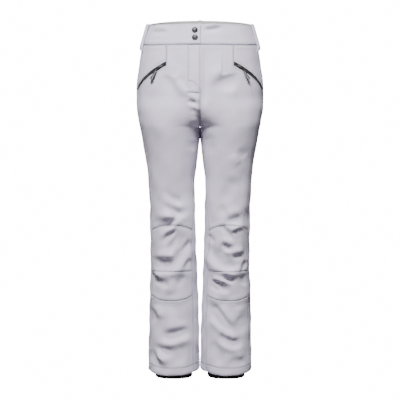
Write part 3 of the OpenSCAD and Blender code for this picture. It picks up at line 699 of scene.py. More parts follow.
# ---- Finishes ------------------------------------------------------------------------------
class Finish:
    """A material whose colour, roughness and surface vary by noise and weave, placed in mm."""

    def __init__(self, name, colour, rough, metal=0.0, sheen=0.0, coat=0.0):
        self.material = bpy.data.materials.new(name)
        self.material.use_nodes = True
        self.nodes = self.material.node_tree.nodes
        self.links = self.material.node_tree.links
        self.shader = self.nodes["Principled BSDF"]
        self.colour = colour
        self.rough = rough
        for key, value in (("Base Color", (*colour, 1)), ("Roughness", rough), ("Metallic", metal),
                           ("Sheen Weight", sheen), ("Sheen Roughness", 0.45), ("Coat Weight", coat)):
            self.shader.inputs[key].default_value = value
        place = self.add("ShaderNodeTexCoord").outputs["Object"]
        self.place = self.add("ShaderNodeVectorMath", {0: place, 1: (1 / MM,) * 3},
                              operation="MULTIPLY").outputs[0]

    def add(self, kind, inputs=(), **settings):
        node = self.nodes.new(kind)
        for key, value in settings.items():
            setattr(node, key, value)
        for key, value in dict(inputs).items():
            if isinstance(value, bpy.types.NodeSocket):
                self.links.new(value, node.inputs[key])
            else:
                node.inputs[key].default_value = value
        return node

    def noise(self, size, detail=2.0, stretch=(1, 1, 1)):
        """Blotches about size mm across."""
        place = self.add("ShaderNodeVectorMath", {0: self.place, 1: stretch}, operation="MULTIPLY")
        return self.add("ShaderNodeTexNoise", {"Vector": place.outputs[0], "Scale": 1 / size,
                                               "Detail": detail}).outputs["Fac"]

    def ribs(self, pitch, direction="X", wobble=0.0):
        """Bands that repeat every pitch mm along an axis."""
        return self.add("ShaderNodeTexWave", {"Vector": self.place, "Scale": math.pi / 10 / pitch,
                                              "Distortion": wobble, "Detail": 1.0},
                        bands_direction=direction).outputs["Fac"]

    def maths(self, operation, a, b=0.0):
        return self.add("ShaderNodeMath", {0: a, 1: b}, operation=operation).outputs[0]

    def spread(self, value, low, high):
        """0 to 1 turned into low to high."""
        return self.add("ShaderNodeMapRange", {0: value, 3: low, 4: high}).outputs[0]

    def tone(self, value, low, high):
        """Multiplies the colour by low to high, with value. Each is a grey or a colour."""
        low, high = (tuple(np.broadcast_to(v, 3)) for v in (low, high))
        mix = self.add("ShaderNodeMix", {0: value, 6: (*low, 1), 7: (*high, 1)}, data_type="RGBA")
        base = self.shader.inputs["Base Color"]
        before = base.links[0].from_socket if base.is_linked else (*self.colour, 1)
        both = self.add("ShaderNodeMix", {0: 1.0, 6: before, 7: mix.outputs[2]}, data_type="RGBA",
                        blend_type="MULTIPLY")
        self.links.new(both.outputs[2], base)
        return self

    def worn(self, value, amount):
        """Lets the roughness wander by amount either way."""
        low, high = max(0.02, self.rough - amount), min(1.0, self.rough + amount)
        self.links.new(self.spread(value, low, high), self.shader.inputs["Roughness"])
        return self

    def bump(self, value, depth):
        """Relief depth mm deep, on top of what is there."""
        inputs = {"Height": value, "Distance": depth * MM, "Strength": 1.0}
        normal_in = self.shader.inputs["Normal"]
        if normal_in.is_linked:
            inputs["Normal"] = normal_in.links[0].from_socket
        self.links.new(self.add("ShaderNodeBump", inputs).outputs[0], normal_in)
        return self


def woven(f, pitch, depth):
    """A plain weave: two sets of ribs, of which the higher shows."""
    across = f.maths("MAXIMUM", f.ribs(pitch, "X", 0.3), f.ribs(pitch, "Y", 0.3))
    return f.bump(f.maths("MAXIMUM", across, f.ribs(pitch, "Z", 0.3)), depth)


def make_softshell():
    f = Finish("softshell", (0.67, 0.625, 0.75), 0.74, sheen=0.1)
    f.tone(f.noise(70, 3), 0.965, 1.02)
    f.tone(f.noise(1.6, 2), 0.955, 1.03)
    # painted shade: the seam attribute darkens the colour in seam grooves and along stitching
    f.tone(f.add("ShaderNodeAttribute", attribute_name="seam").outputs["Fac"], 1, (0.55, 0.55, 0.58))
    f.worn(f.noise(18, 2), 0.06)
    woven(f, 0.95, 0.05)
    f.bump(f.noise(2.4, 3), 0.10)
    return f.bump(f.noise(13, 2), 0.35).material


def make_fleece():
    f = Finish("fleece", (0.52, 0.515, 0.535), 0.95, sheen=0.5)
    f.tone(f.noise(3, 3), 0.82, 1.06)
    return f.bump(f.noise(1.7, 3), 0.5).material


def make_lining():
    f = Finish("lining", (0.47, 0.485, 0.46), 0.82, sheen=0.3)
    f.tone(f.noise(26, 2), 0.95, 1.02)
    f.bump(f.ribs(1.3, "X", 0.4), 0.12)
    return f.bump(f.noise(2.2, 3), 0.15).material


def make_tape():
    f = Finish("zip_tape", (0.013, 0.013, 0.015), 0.7, sheen=0.1)
    f.tone(f.noise(2, 2), 0.7, 1.4)
    return woven(f, 0.7, 0.10).material


def make_coil():
    f = Finish("zip_coil", (0.02, 0.02, 0.022), 0.34)
    f.tone(f.noise(4, 2), 0.8, 1.3)
    return f.worn(f.noise(3, 2), 0.08).bump(f.noise(0.6, 2), 0.02).material


def make_gunmetal():
    f = Finish("gunmetal", (0.13, 0.128, 0.125), 0.46, metal=1.0)
    f.tone(f.noise(5, 3), 0.82, 1.18)
    f.worn(f.noise(1.2, 3, (1, 1, 5)), 0.1)
    return f.bump(f.noise(0.5, 2), 0.012).material


def make_oxide():
    f = Finish("dark_oxide", (0.05, 0.05, 0.052), 0.4, metal=0.8)
    f.tone(f.noise(5, 3), 0.8, 1.2)
    return f.worn(f.noise(1.5, 3), 0.08).bump(f.noise(0.5, 2), 0.012).material


# A pale metal for the slider's rim and the pull's inlay: its paleness is painted highlight on the rim, and
# partly painted reflection on the inlay.
def make_highlight_metal():
    f = Finish("pale_metal_painted_highlight", (0.36, 0.365, 0.36), 0.42, metal=0.5)
    f.tone(f.noise(3, 3), 0.86, 1.08)
    return f.worn(f.noise(0.5, 2, (1, 1, 8)), 0.12).material


def make_grip():
    f = Finish("black_grip", (0.018, 0.018, 0.02), 0.5)
    f.tone(f.noise(3, 3), 0.8, 1.35)
    return f.worn(f.noise(5, 2), 0.1).bump(f.noise(0.5, 2), 0.03).material


def make_nylon():
    f = Finish("gaiter_cloth", (0.022, 0.022, 0.025), 0.52, sheen=0.12)
    f.tone(f.noise(12, 3), 0.75, 1.35)
    f.bump(f.maths("POWER", f.ribs(5, "Z", 0.4), 6.0), 0.12)
    return woven(f, 0.6, 0.05).bump(f.noise(7, 3), 0.5).material


def make_elastic():
    f = Finish("elastic", (0.018, 0.018, 0.02), 0.8, sheen=0.2)
    f.tone(f.noise(4, 2), 0.8, 1.4)
    return f.bump(f.ribs(1.5, "Z", 0.5), 0.25).bump(f.noise(0.9, 2), 0.1).material


def make_gripper():
    f = Finish("gripper", (0.10, 0.10, 0.105), 0.38)
    f.tone(f.noise(6, 2), 0.85, 1.1)
    return f.worn(f.noise(8, 2), 0.08).material


def make_thread():
    f = Finish("thread", (0.42, 0.41, 0.45), 0.62, sheen=0.15)
    f.tone(f.noise(7, 2), 0.9, 1.05)
    return f.bump(f.noise(0.35, 1), 0.05).material


softshell = make_softshell()
fleece = make_fleece()
lining = make_lining()
tape = make_tape()
coil = make_coil()
gunmetal = make_gunmetal()
oxide = make_oxide()
highlight_metal = make_highlight_metal()
grip_black = make_grip()
nylon = make_nylon()
elastic = make_elastic()
gripper = make_gripper()
thread = make_thread()
SHELL, LINED = [softshell, fleece], [lining, lining]


# ---- Rows of topstitching that press into the cloth ------------------------------------------
def j_stitch():
    """Heights and X of the stitching that closes the fly's facing, down and round to the centre."""
    turn = np.linspace(0, math.pi / 2, 40)
    x = np.concatenate([np.linspace(-33, -33, 60), lerp(-33, -1.5, np.sin(turn))])
    h = np.concatenate([np.linspace(BAND - 3, FLY_END + 34, 60),
                        lerp(FLY_END + 34, FLY_END + 4, 1 - np.cos(turn))])
    return h, x


def across_panel(height, bow, s):
    """A row across the front of a leg, as heights and angles."""
    h = height + bow * arch(s)
    return h, lerp(front_inner(h), side_seam(h), s)


def press_rows():
    h, x = j_stitch()
    SEWN.append(skin(h, front_angle(h, x)))
    s = np.linspace(0, 1, 240)
    for side in SIDES.values():
        for height, bow in ((KNEE_LOW - LOW_ROW, LOW_BOW), (HEM_ROW, HEM_BOW)):
            SEWN.append(skin(*across_panel(height, bow, s)) * [side, 1, 1])
        angles = lerp(side_seam(HEM), back_inner(HEM), s)
        SEWN.append(skin(HEM_ROW + HEM_BOW * behind(s, angles), angles) * [side, 1, 1])


# ---- Panels --------------------------------------------------------------------------------
def straight(s, a):
    return 0 * s


def across_front(s, a):
    return arch(s)


def behind(s, a):
    return np.maximum(0, np.sin(np.radians(a))) ** 0.8


def grid(top, low, first, last, length, width, top_bow=0.0, low_bow=0.0, curve=across_front):
    """Heights and angles between two level seams, which bow, and two upright ones, as functions."""
    v, s = run(length)[:, None], run(width)[None, :]

    def seam(height, bow):
        return height + bow * curve(s, lerp(first(height), last(height), s))

    h = lerp(seam(top, top_bow), seam(low, low_bow), v)
    return h, lerp(first(h), last(h), s)


def at_x(x):
    return lambda h: front_angle(h, x)


def front_panel_grid(side):
    """The front's grid in three strips: by the fly, out to the yoke's seam, and under the zip.

    Its rows bend to follow the zip in the third strip, which has no cloth above it.
    """
    zip_top = float(zip_height(0, -opening(0)))
    levels = [BAND - GAP, zip_top, FLY_END - GAP, KNEE_TOP + GAP]
    runs = [run(abs(b - a)) for a, b in zip(levels, levels[1:])]
    rows = np.concatenate([r[1:] + k for k, r in enumerate(runs)])
    rows = np.concatenate([[0], rows])[:, None]
    above_zip, above_fly_end = (rows < 1 - 1e-9)[:-1], (rows < 2 - 1e-9)[:-1]
    strips = [(lambda h, s: lerp(front_inner(h), front_angle(h, FLY_W), s), FLY_W),
              (lambda h, s: lerp(front_angle(h, FLY_W), front_angle(h, YOKE_X), s), YOKE_X - FLY_W),
              (pocket_angle, 110)]
    all_h, all_a, kept = [], [], []
    for k, (angle, width) in enumerate(strips):
        s = run(width)[None, :]
        share = front_share(KNEE_TOP, angle(KNEE_TOP, s))
        low = levels[3] + KNEE_BOW * arch(share)
        middle = lerp(levels[0], levels[1], np.clip(rows, 0, 1))
        middle = np.where(rows > 1, lerp(levels[1], levels[2], np.clip(rows - 1, 0, 1)), middle)
        h = np.where(rows > 2, lerp(levels[2], low, np.clip(rows - 2, 0, 1)), middle)
        if k == 2:
            edge_low = levels[3] + KNEE_BOW * arch(front_share(KNEE_TOP, angle(KNEE_TOP, 0.0)))
            share_down = (h[:, :1] - levels[1]) / (edge_low - levels[1])
            share_down = np.clip(share_down, 0, 1)
            h = lerp(zip_height(s, -opening(s)), low, share_down)
        first = 0 if k == 0 else 1
        all_h.append(h[:, first:])
        all_a.append(angle(h, s)[:, first:])
        keep = np.ones((len(rows) - 1, s.size - 1), bool)
        if k == 0 and side < 0:
            keep &= ~above_fly_end
        if k == 2:
            keep &= ~above_zip
        kept.append(keep)
    return np.hstack(all_h), np.hstack(all_a), np.hstack(kept)


def by_zip(p):
    return (np.abs(p[:, 0]) > YOKE_X + 0.6) & (zip_distance(p) < 7) & (p[:, 1] < 0)


def cloth(name, shape, body, slot, *nodes, materials=SHELL, held="hung", share=100, **settings):
    """A panel that is dressed and placed."""
    h, a = shape[:2]
    if len(shape) > 2:
        settings["keep"] = shape[2]
    made = panel(name, h, a, materials, **settings)
    fit(made, body, slot, *nodes)
    return made


def make_fronts():
    for side_name, side in SIDES.items():
        leg = knee_blend(side_name)
        h, a, keep = front_panel_grid(side)
        if side > 0:
            whole = {"joined_at": lambda p: (np.abs(p[:, 0]) < 1) & (p[:, 2] > FLY_END)}
        else:
            whole = {"joined_at": lambda p: (np.abs(p[:, 0] + FLY_W) < 1) & (p[:, 2] > FLY_END - 1)}
        cloth("front_panel." + side_name, (h, a, keep), "trousers", "softshell",
              "front_panel_" + side_name, side=side, lips_at=by_zip, **whole)
        v, s = run(90)[:, None], np.maximum(run(105), 0.003)[None, :]
        top = 0 * s + BAND - GAP
        h = lerp(top, zip_height(s, opening(s)), v)
        cloth("front_yoke." + side_name, (h, pocket_angle(h, s)), "trousers", "softshell",
              "front_yoke_" + side_name, side=side, lips_at=by_zip)
        upper = grid(KNEE_TOP - GAP, KNEE_SEAM + GAP, front_inner, side_seam, 128, 200, KNEE_BOW)
        cloth("knee_upper." + side_name, upper, leg, "softshell", "knee_upper_" + side_name, side=side)
        lower = grid(KNEE_SEAM - GAP, KNEE_LOW + GAP, front_inner, side_seam, 78, 200, 0, LOW_BOW)
        cloth("knee_lower." + side_name, lower, leg, "softshell", "knee_lower_" + side_name, side=side)
        shin = grid(KNEE_LOW - GAP, HEM, front_inner, side_seam, 215, 200, LOW_BOW, HEM_BOW)
        cloth("shin_panel." + side_name, shin, "lower_leg_" + side_name, "softshell",
              "shin_panel_" + side_name, side=side)


def make_backs():
    for side_name, side in SIDES.items():
        back = grid(BAND - GAP, HEM, side_seam, back_inner, 950, 265, 0, HEM_BOW, behind)
        cloth("back_panel." + side_name, back, knee_blend(side_name), "softshell",
              "back_panel_" + side_name, "knee_back_" + side_name, "calf_panel_" + side_name, side=side)


def make_seam_tapes():
    """The taped allowances behind the centre seams and the seams across the knees."""
    for side_name, side in SIDES.items():
        knee = grid(KNEE_SEAM + 5, KNEE_SEAM - 5, front_inner, side_seam, 10, 200, curve=straight)
        cloth("seam_tape.knee." + side_name, knee, knee_blend(side_name), "lining", side=side,
              off=SEAM_TAPE_OFF, thick=SEAM_TAPE_T, materials=LINED)
        front = grid(FLY_END + 4, CROTCH + 2, at_x(-3.5), at_x(8), 90, 11.5, curve=straight)
        cloth("seam_tape.front." + side_name, front, "trousers", "lining", side=side, off=SEAM_TAPE_OFF,
              thick=SEAM_TAPE_T, rising=False, materials=LINED, share=60)
        back = grid(BAND, CROTCH + 2, lambda h: -front_angle(h, 8), lambda h: -front_angle(h, -3.5),
                    230, 11.5, curve=straight)
        cloth("seam_tape.back." + side_name, back, "trousers", "lining", side=side, off=SEAM_TAPE_OFF,
              thick=SEAM_TAPE_T, materials=LINED, share=60)


def make_waist():
    band = (-GAP, BAND + GAP)

    def free(p):
        return (p[:, 2] > -14) | (np.abs(p[:, 0] + FLY_W) < 1) & (p[:, 1] < 0)

    left = grid(*band, at_x(1 - FLY_W), side_seam, 58, 190, curve=straight)
    cloth("waistband.left", left, "trousers", "softshell", "waistband_left", thick=BAND_T, joined_at=free)
    right = grid(*band, at_x(FLY_W), side_seam, 58, 125, curve=straight)
    cloth("waistband.right", right, "trousers", "softshell", "waistband_right", side=-1, thick=BAND_T,
          joined_at=free)
    back = grid(*band, side_seam, lambda h: 180 - side_seam(h), 58, 390, curve=straight)
    cloth("waistband.back", back, "trousers", "softshell", "waistband_back", thick=BAND_T, joined_at=free)
    inside = grid(-2, BAND + 2, at_x(10), lambda h: 180 - front_angle(h, FLY_W + 6), 54, 700,
                  curve=straight)
    cloth("waist_lining.band", inside, "trousers", "lining", "waist_lining", off=LINING_OFF, thick=THIN_T,
          materials=LINED)
    tab = grid(*band, at_x(-FLY_W), at_x(TAB_EDGE), 58, 38, curve=straight)
    cloth("waist_tab.cloth", tab, FLY_BLEND, "softshell", "waist_tab", off=TAB_OFF, rising=False,
          joined_at=free)


def make_fly():
    flap = grid(BAND - 1, FLY_END, at_x(-FLY_W), at_x(0.5), 141, 36, curve=straight)
    cloth("fly_flap.cloth", flap, FLY_BLEND, "softshell", "fly_flap", off=FLAP_OFF, rising=False,
          joined_at=lambda p: np.abs(p[:, 0] + FLY_W) < 1)
    under = grid(BAND - 1, FLY_END + 4, at_x(-11.5), at_x(4), 136, 15, curve=straight)
    cloth("fly_underlap.cloth", under, "trousers", "softshell", off=UNDERLAP_OFF, thick=THIN_T)
    shield = grid(BAND - 1, FLY_END - 4, at_x(-FLY_W - 4), at_x(8), 144, 48, curve=straight)
    cloth("fly_shield.cloth", shield, "trousers", "softshell", "fly_shield", off=SHIELD_OFF)


def make_insides():
    for side_name, side in SIDES.items():
        bag = grid(-128, -270, lambda h: front_angle(h, 62 + 34 * smooth((h + 190) / 70)),
                   lambda h: side_seam(h) - 6, 140, 110, curve=straight)
        cloth("pocket_bag.cloth." + side_name, bag, "trousers", "lining", "pocket_bag_" + side_name,
              side=side, off=BAG_OFF, thick=BAG_T, materials=LINED)
        facing = grid(HEM + 27, HEM + 1, lambda h: 0 * h, lambda h: 0 * h + 360, 26, 470, curve=straight)
        cloth("hem_facing.cloth." + side_name, facing, "lower_leg_" + side_name, "softshell",
              "hem_facing_" + side_name, side=side, off=FACING_OFF, thick=THIN_T, materials=LINED)


# ---- Gaiters ---------------------------------------------------------------------------------
LEG_X, GAITER_END, LEG_Y = (LEG_OUT + 2.5) / 2, HEM - 22, 2


def leg_ring(h, inset):
    front, back = at(h, 3), at(h, 4)
    return [h, (at(h, 1) + at(h, 2)) / 2 - inset, (front + back) / 2 - inset, at(h, 5) + (back - front) / 2]


GAITER = [leg_ring(HEM + 150, 9.5), leg_ring(HEM + 120, 10), leg_ring(HEM + 80, 12.5),
          [HEM + 40, 60, 72, LEG_Y + 1], [HEM + 15, 54.5, 63, LEG_Y], [HEM - 2, 51.5, 57, LEG_Y],
          [GAITER_END + 1, 49, 54, LEG_Y]]


def tube(rings, ripple, wall, rows, around=220):
    """A closed sleeve through rings of (height, half width, half depth, y of the middle)."""
    rings = np.array(rings, float)
    share = np.linspace(0, 1, rows)
    heights = np.interp(share, np.linspace(0, 1, len(rings)), rings[:, 0])
    sizes = [np.interp(heights[::-1], rings[::-1, 0], rings[::-1, k])[::-1] for k in (1, 2, 3)]
    turn = np.linspace(0, 2 * math.pi, around, endpoint=False)
    skins = []
    for inset in (0, wall):
        out = ripple(share[:, None], turn[None, :]) - inset
        x = LEG_X + (sizes[0][:, None] + out) * power(np.cos(turn))
        y = sizes[2][:, None] + (sizes[1][:, None] + out) * power(np.sin(turn))
        skins.append(np.stack([x, y, heights[:, None] + 0 * x], -1).reshape(-1, 3))
    quads = np.roll(cells(rows, around).reshape(-1, 4)[:, ::-1], 1, axis=1)    # facing outwards
    return np.vstack(skins), [two_sided(quads, rows * around)]


def pleats(share, turn):
    """Gathers that deepen towards the elastic, unevenly spaced."""
    wander = turn + 0.05 * np.sin(5 * turn + 1) + 0.04 * np.sin(9 * turn)
    deep = 0.2 + 1.5 * smooth((share - 0.3) / 0.6)
    return deep * (np.sin(27 * wander) + 0.4 * np.sin(61 * wander + 2)) + 0.8 * np.sin(3 * turn + 6 * share)


def elastic_ribs(share, turn):
    swell = 0.7 * arch(share)
    return swell + 0.22 * np.sin(84 * turn) - 0.5 * np.exp(-((share - 0.5) / 0.1) ** 2)


def gripper_waves(share, turn):
    return 0.3 * np.sin(40 * turn) * arch(share)


def make_gaiters():
    cuff = [[HEM - 5, 52.4, 57.6, LEG_Y], [HEM - 7, 54.2, 59.4, LEG_Y],
            [GAITER_END + 3, 53.2, 58.2, LEG_Y], [GAITER_END, 51.2, 56.2, LEG_Y]]
    inner = [[HEM - 8, 48.2, 53.2, LEG_Y], [GAITER_END + 3, 47.2, 52.2, LEG_Y]]
    kinds = (("gaiter", "gaiter_cloth", nylon, GAITER, pleats, THIN_T, 60),
             ("gaiter_elastic", "elastic", elastic, cuff, elastic_ribs, 1.0, 16),
             ("gaiter_gripper", "gripper", gripper, inner, gripper_waves, 0.8, 8))
    for side_name, side in SIDES.items():
        for name, slot, material, rings, ripple, wall, rows in kinds:
            part = mirrored(tube(rings, ripple, wall, rows), side)
            add_piece(f"{name}.{side_name}", part, material, "lower_leg_" + side_name, slot,
                                   f"{name}_{side_name}")


# ---- Belt loops --------------------------------------------------------------------------------
LOOP_AT = -15


def make_loops():
    """A folded strap that stands off the band, sewn down at its top and below the band.

    The two at the sides turn their faces a little to the front.
    """
    parts = []
    for angle, side, lean in ((LOOP_AT, 1, 24), (LOOP_AT, -1, 24), (90, 1, 0)):
        top, low = skin(0, angle) * [side, 1, 1], skin(BAND - 16, angle) * [side, 1, 1]
        out = normal(-30, angle) * [side, 1, 1]
        down = unit(low - top)
        out = unit(out - (out @ down) * down)
        across = np.cross(down, out)
        across *= 1 if across[1] <= 0 else -1
        drop = float(np.linalg.norm(low - top))
        route = [(2.3, 1), (6.5, 1.5), (8.3, 8), (8.1, drop / 2), (7.9, drop - 11), (6.4, drop - 3),
                 (2.4, drop + 0.5)]
        line = smooth_line(route, 8)
        path = top + line[:, :1] * out + line[:, 1:] * down
        along = np.linspace(0, 1, len(path))
        turn = math.radians(lean) * smooth(5 * along) * smooth(5 - 5 * along)
        wide = across * np.cos(turn)[:, None] - out * np.sin(turn)[:, None]
        face = out * np.cos(turn)[:, None] + across * np.sin(turn)[:, None]
        parts.append(sweep(path, wide, rounded(12, 3.4, 1.3)))
        for edge in (-4.3, 4.3):
            sew_line("body", path + edge * wide + 1.75 * face, face)
        for share in (0.12, 0.88):
            i = round(share * (len(path) - 1))
            bar = path[i] + np.linspace(-4.6, 4.6, 12)[:, None] * wide[i] + 1.8 * face[i]
            sew_line("body", bar, np.tile(face[i], (12, 1)), pitch=1.0, length=1.5)
    add_piece("belt_loops.straps", joined(parts), softshell, "trousers", "softshell", "belt_loops")


# ---- Stitching -------------------------------------------------------------------------------
STITCHES = {}


def beside(h, a, distance):
    """The line distance mm to one side of a seam, given and returned as heights and angles."""
    h, a = np.broadcast_arrays(np.asarray(h, float), np.asarray(a, float))
    across = unit(np.cross(normal(h, a), np.gradient(skin(h, a), axis=0)))
    by_h = skin(h + 0.5, a) - skin(h - 0.5, a)
    by_a = skin(h, a + 0.5) - skin(h, a - 0.5)
    hh, ha, aa = (by_h * by_h).sum(-1), (by_h * by_a).sum(-1), (by_a * by_a).sum(-1)
    ph, pa = (by_h * across).sum(-1) * distance, (by_a * across).sum(-1) * distance
    whole = hh * aa - ha * ha
    return h + (ph * aa - pa * ha) / whole, a + (pa * hh - ph * ha) / whole


def sew_line(group, path, out, pitch=3.6, length=2.6):
    """Stitches along a path of points in mm, standing on the faces that look out."""
    path = np.asarray(path, float)
    steps = np.linalg.norm(np.diff(path, axis=0), axis=1)
    gone = np.concatenate([[0], np.cumsum(steps)])
    count = max(1, int(gone[-1] / pitch))
    spots = (np.arange(count) + 0.5) * gone[-1] / count
    place, before, after = (np.stack([np.interp(spots + d, gone, path[:, k]) for k in range(3)], -1)
                            for d in (0, -0.7, 0.7))
    along = unit(after - before)
    facing = np.stack([np.interp(spots, gone, out[:, k]) for k in range(3)], -1)
    facing = unit(facing - (facing * along).sum(-1, keepdims=True) * along)
    STITCHES.setdefault(group, []).append((place, along * length / 2, facing))


def sew(group, h, a, distance=0.0, side=1, off=0.0, rising=True):
    """Stitches beside a seam of the cloth. Heights and angles run along it."""
    h, a = beside(h, a, distance)
    p, out = surface(h, a, side, off + groove(abs(distance)) + 0.12, rising)
    sew_line(group, p, out)


def make_stitches():
    bodies = {"body": "trousers", "fly": "fly_front"}
    radius, sides = 0.3, 6
    t = np.linspace(0, 2 * math.pi, sides, endpoint=False)
    rings = ((-1, 0.4, -0.35), (-0.6, 0.95, 0.0), (0, 1, 0.1), (0.6, 0.95, 0.0), (1, 0.4, -0.35))
    quads = cells(len(rings), sides).reshape(-1, 4)
    for group, rows in STITCHES.items():
        place, along, out = (np.vstack([r[c] for r in rows]) for c in range(3))
        across = unit(np.cross(out, along))
        points = np.stack([
            place + along * u + out * high + radius * size * (across * np.cos(w) + out * np.sin(w))
            for u, size, high in rings for w in t], 1)
        starts = points.shape[1] * np.arange(len(place))
        faces = (quads[None] + starts[:, None, None]).reshape(-1, 4)
        body = bodies[group] if group in bodies else knee_blend(group)
        add_piece("stitches." + group, (points.reshape(-1, 3), [faces]), thread, body, "softshell", sharp=80)


def sew_seams():
    """Topstitching beside every seam of the body and the legs."""
    s = np.linspace(0.01, 0.99, 160)
    top_of_leg = np.linspace(BAND - 1, KNEE_TOP, 220)
    leg = np.linspace(KNEE_TOP - 2, HEM + 1, 180)
    yoke_h = np.linspace(BAND - 3, float(zip_height(0, opening(0))) + 2, 24)
    zip_s = np.linspace(0.0, 0.95, 80)
    centre = np.linspace(BAND - 1, CROTCH + 12, 110)
    for name, side in SIDES.items():
        sew("body", top_of_leg, side_seam(top_of_leg), ROW, side)
        sew(name, leg, side_seam(leg), ROW, side)
        sew(name, leg, front_inner(leg), ROW, side)
        for h, bow, rows in ((KNEE_TOP, KNEE_BOW, (ROW, -ROW)), (KNEE_SEAM, 0, (2.2,)),
                             (KNEE_LOW, LOW_BOW, (ROW, -ROW, -LOW_ROW)), (HEM_ROW, HEM_BOW, (0,))):
            for d in rows:
                sew(name, *across_panel(h, bow, s), d, side)
        back_h = HEM_ROW + HEM_BOW * behind(s, lerp(side_seam(HEM), back_inner(HEM), s))
        sew(name, back_h, lerp(side_seam(back_h), back_inner(back_h), s), 0, side)
        sew("body", yoke_h, front_angle(yoke_h, YOKE_X), -ROW, side)
        for w in (9.6, -9.6):
            zip_h = zip_height(zip_s, w)
            sew("body", zip_h, pocket_angle(zip_h, zip_s), 0, side)
        sew("body", centre, -front_angle(centre, GAP / 2), ROW, side)
    low_centre = np.linspace(FLY_END - 3, CROTCH + 12, 50)
    sew("body", low_centre, front_angle(low_centre, GAP / 2), ROW, 1)
    for h, d in ((BAND, ROW), (BAND, -ROW), (0, EDGE_ROW)):
        for start, count, side in ((FLY_W + 1, 60, -1), (TAB_EDGE + 2, 80, 1)):
            turn = front_angle(h, np.linspace(start, 120, count))
            turn = np.concatenate([turn, np.linspace(turn[-1], 90, 220)[1:]])
            sew("body", h + 0 * turn, turn, -d, side)
    # The tab's own edges, and the J that closes the flap's facing
    tab_x = np.linspace(-FLY_W + 10, TAB_EDGE - 2.5, 30)
    for h, d in ((0, EDGE_ROW), (BAND, -ROW)):
        sew("fly", h + 0 * tab_x, front_angle(h, tab_x), -d, 1, TAB_OFF, False)
    tab_h = np.linspace(-EDGE_ROW, BAND + EDGE_ROW, 24)
    sew("fly", tab_h, front_angle(tab_h, TAB_EDGE - EDGE_ROW), 0, 1, TAB_OFF, False)
    j_h, j_x = j_stitch()
    for d in (0, 3.0):
        sew("fly", j_h, front_angle(j_h, j_x), d, 1, FLAP_OFF, False)


# ---- Zips and their pulls --------------------------------------------------------------------
SLIDER_AT = 24 / ZIP_R                          # the closed slider's turn along the zip
PULL_OUT, PULL_LEAN, PULL_TUCK = 3.0, math.radians(36), math.radians(6)
LINK_LEN, LINK_W, GRIP_LEN, NECK_R, TIP_R = 14, 7, 28, 2.8, 5
TAPE_OFF, COIL_OFF, COIL_PITCH = -1.1, -1.35, 1.25


def slab(outline, low, high, r):
    """A plate from an outline in Y and Z, between two heights in X, with rounded edges."""
    outline = np.asarray(outline, float)
    away = unit(outline - outline.mean(0))
    layers = [(low, -r), (low + 0.3 * r, -0.3 * r), (low + r, 0), (high - r, 0),
              (high - 0.3 * r, -0.3 * r), (high, -r)]
    rings = [np.column_stack([np.full(len(outline), x), outline + away * out]) for x, out in layers]
    n, k = len(outline), np.arange(len(outline))
    caps = np.stack([k[::-1], (len(layers) - 1) * n + k])
    return np.vstack(rings), [cells(len(layers), n).reshape(-1, 4), caps]


def hull_outline(y0, r0, y1, r1, steps=14):
    """The outline round two circles on the Y axis, in Y and Z."""
    tilt = math.asin((r1 - r0) / (y1 - y0))
    first = np.linspace(math.pi / 2 - tilt, 3 * math.pi / 2 + tilt, steps)
    second = np.linspace(-math.pi / 2 + tilt, math.pi / 2 - tilt, steps)
    return ([(y0 + r0 * math.cos(t), r0 * math.sin(t)) for t in first]
            + [(y1 + r1 * math.cos(t), r1 * math.sin(t)) for t in second])


def zip_frame(turn):
    out = ZIP_OUT * math.cos(turn) + ZIP_ON * math.sin(turn)
    return out, np.cross(ZIP_AXIS, out), ZIP_AXIS


def pull_frame():
    """Origin and axes of the hanging pull: out of the cloth, down along it, and its hinge."""
    x, y, z = zip_frame(SLIDER_AT)
    origin = zip_point(SLIDER_AT, PULL_OUT)
    c, s = math.cos(PULL_LEAN), math.sin(PULL_LEAN)
    y2, z2 = y * c - z * s, y * s + z * c
    x3 = x * math.cos(PULL_TUCK) + y2 * math.sin(PULL_TUCK)
    return origin, x3, np.cross(z2, x3), z2


def make_pocket_zips():
    share = np.linspace(0.004, 0.965, 150)
    for side_name, side in SIDES.items():
        parts = []
        for w in ((0.3, 7.0), (-7.0, -0.3)):
            across = np.linspace(*w, 8)[None, :]
            h = zip_height(share[:, None], across * opening(share[:, None]) / opening(0) / 1.02)
            a = pocket_angle(h, share[:, None])
            p, out = surface(h, a, side, TAPE_OFF)
            swell = 0.18 * np.sin(np.linspace(0, math.pi, 8))[None, :, None]
            top, under = p + out * swell, p - out * 0.8
            parts.append(shell_of(top, under, out))
        add_piece("pocket_tape.cloth." + side_name, joined(parts), tape, "trousers", "zip_tape",
                  "pocket_tape_" + side_name)
        turns = int(ZIP_R * ZIP_SWEEP / COIL_PITCH)
        shares = np.interp((np.arange(turns) + 0.5) / turns, zip_arc(share), share)
        h = zip_height(shares, np.zeros(turns))
        p, out = surface(h, pocket_angle(h, shares), side, COIL_OFF)
        h2 = h + 1.0
        q, _ = surface(h2, pocket_angle(h2, shares), side, COIL_OFF)
        tooth = lathe([(0, -2.1), (0.3, -2.0), (0.5, -1.5), (0.5, 1.5), (0.3, 2.0), (0, 2.1)], 8)
        row = []
        for point, face, up in zip(p, out, unit(q - p)):
            cross = unit(np.cross(up, face))
            row.append(placed(tooth, point, cross, np.cross(up, cross), up))
        add_piece("pocket_coil.turns." + side_name, joined(row), coil, "trousers", "zip_coil",
                  "pocket_coil_" + side_name)
        make_slider(side_name, side)
        make_pull(side_name, side)


def zip_arc(share):
    """How far along the zip each share of the front lies, from 0 to 1."""
    h = zip_height(share, np.zeros(len(share)))
    p = skin(h, pocket_angle(h, share))
    gone = np.concatenate([[0], np.cumsum(np.linalg.norm(np.diff(p, axis=0), axis=1))])
    return gone / gone[-1]


def shell_of(top, under, out):
    """A closed strip between two grids of points."""
    quads = cells(*top.shape[:2], wrap=False).reshape(-1, 4)
    top, under, out = (grid_points.reshape(-1, 3) for grid_points in (top, under, out))
    return np.vstack([top, under]), [two_sided(facing_out(quads, top, out), len(top))]


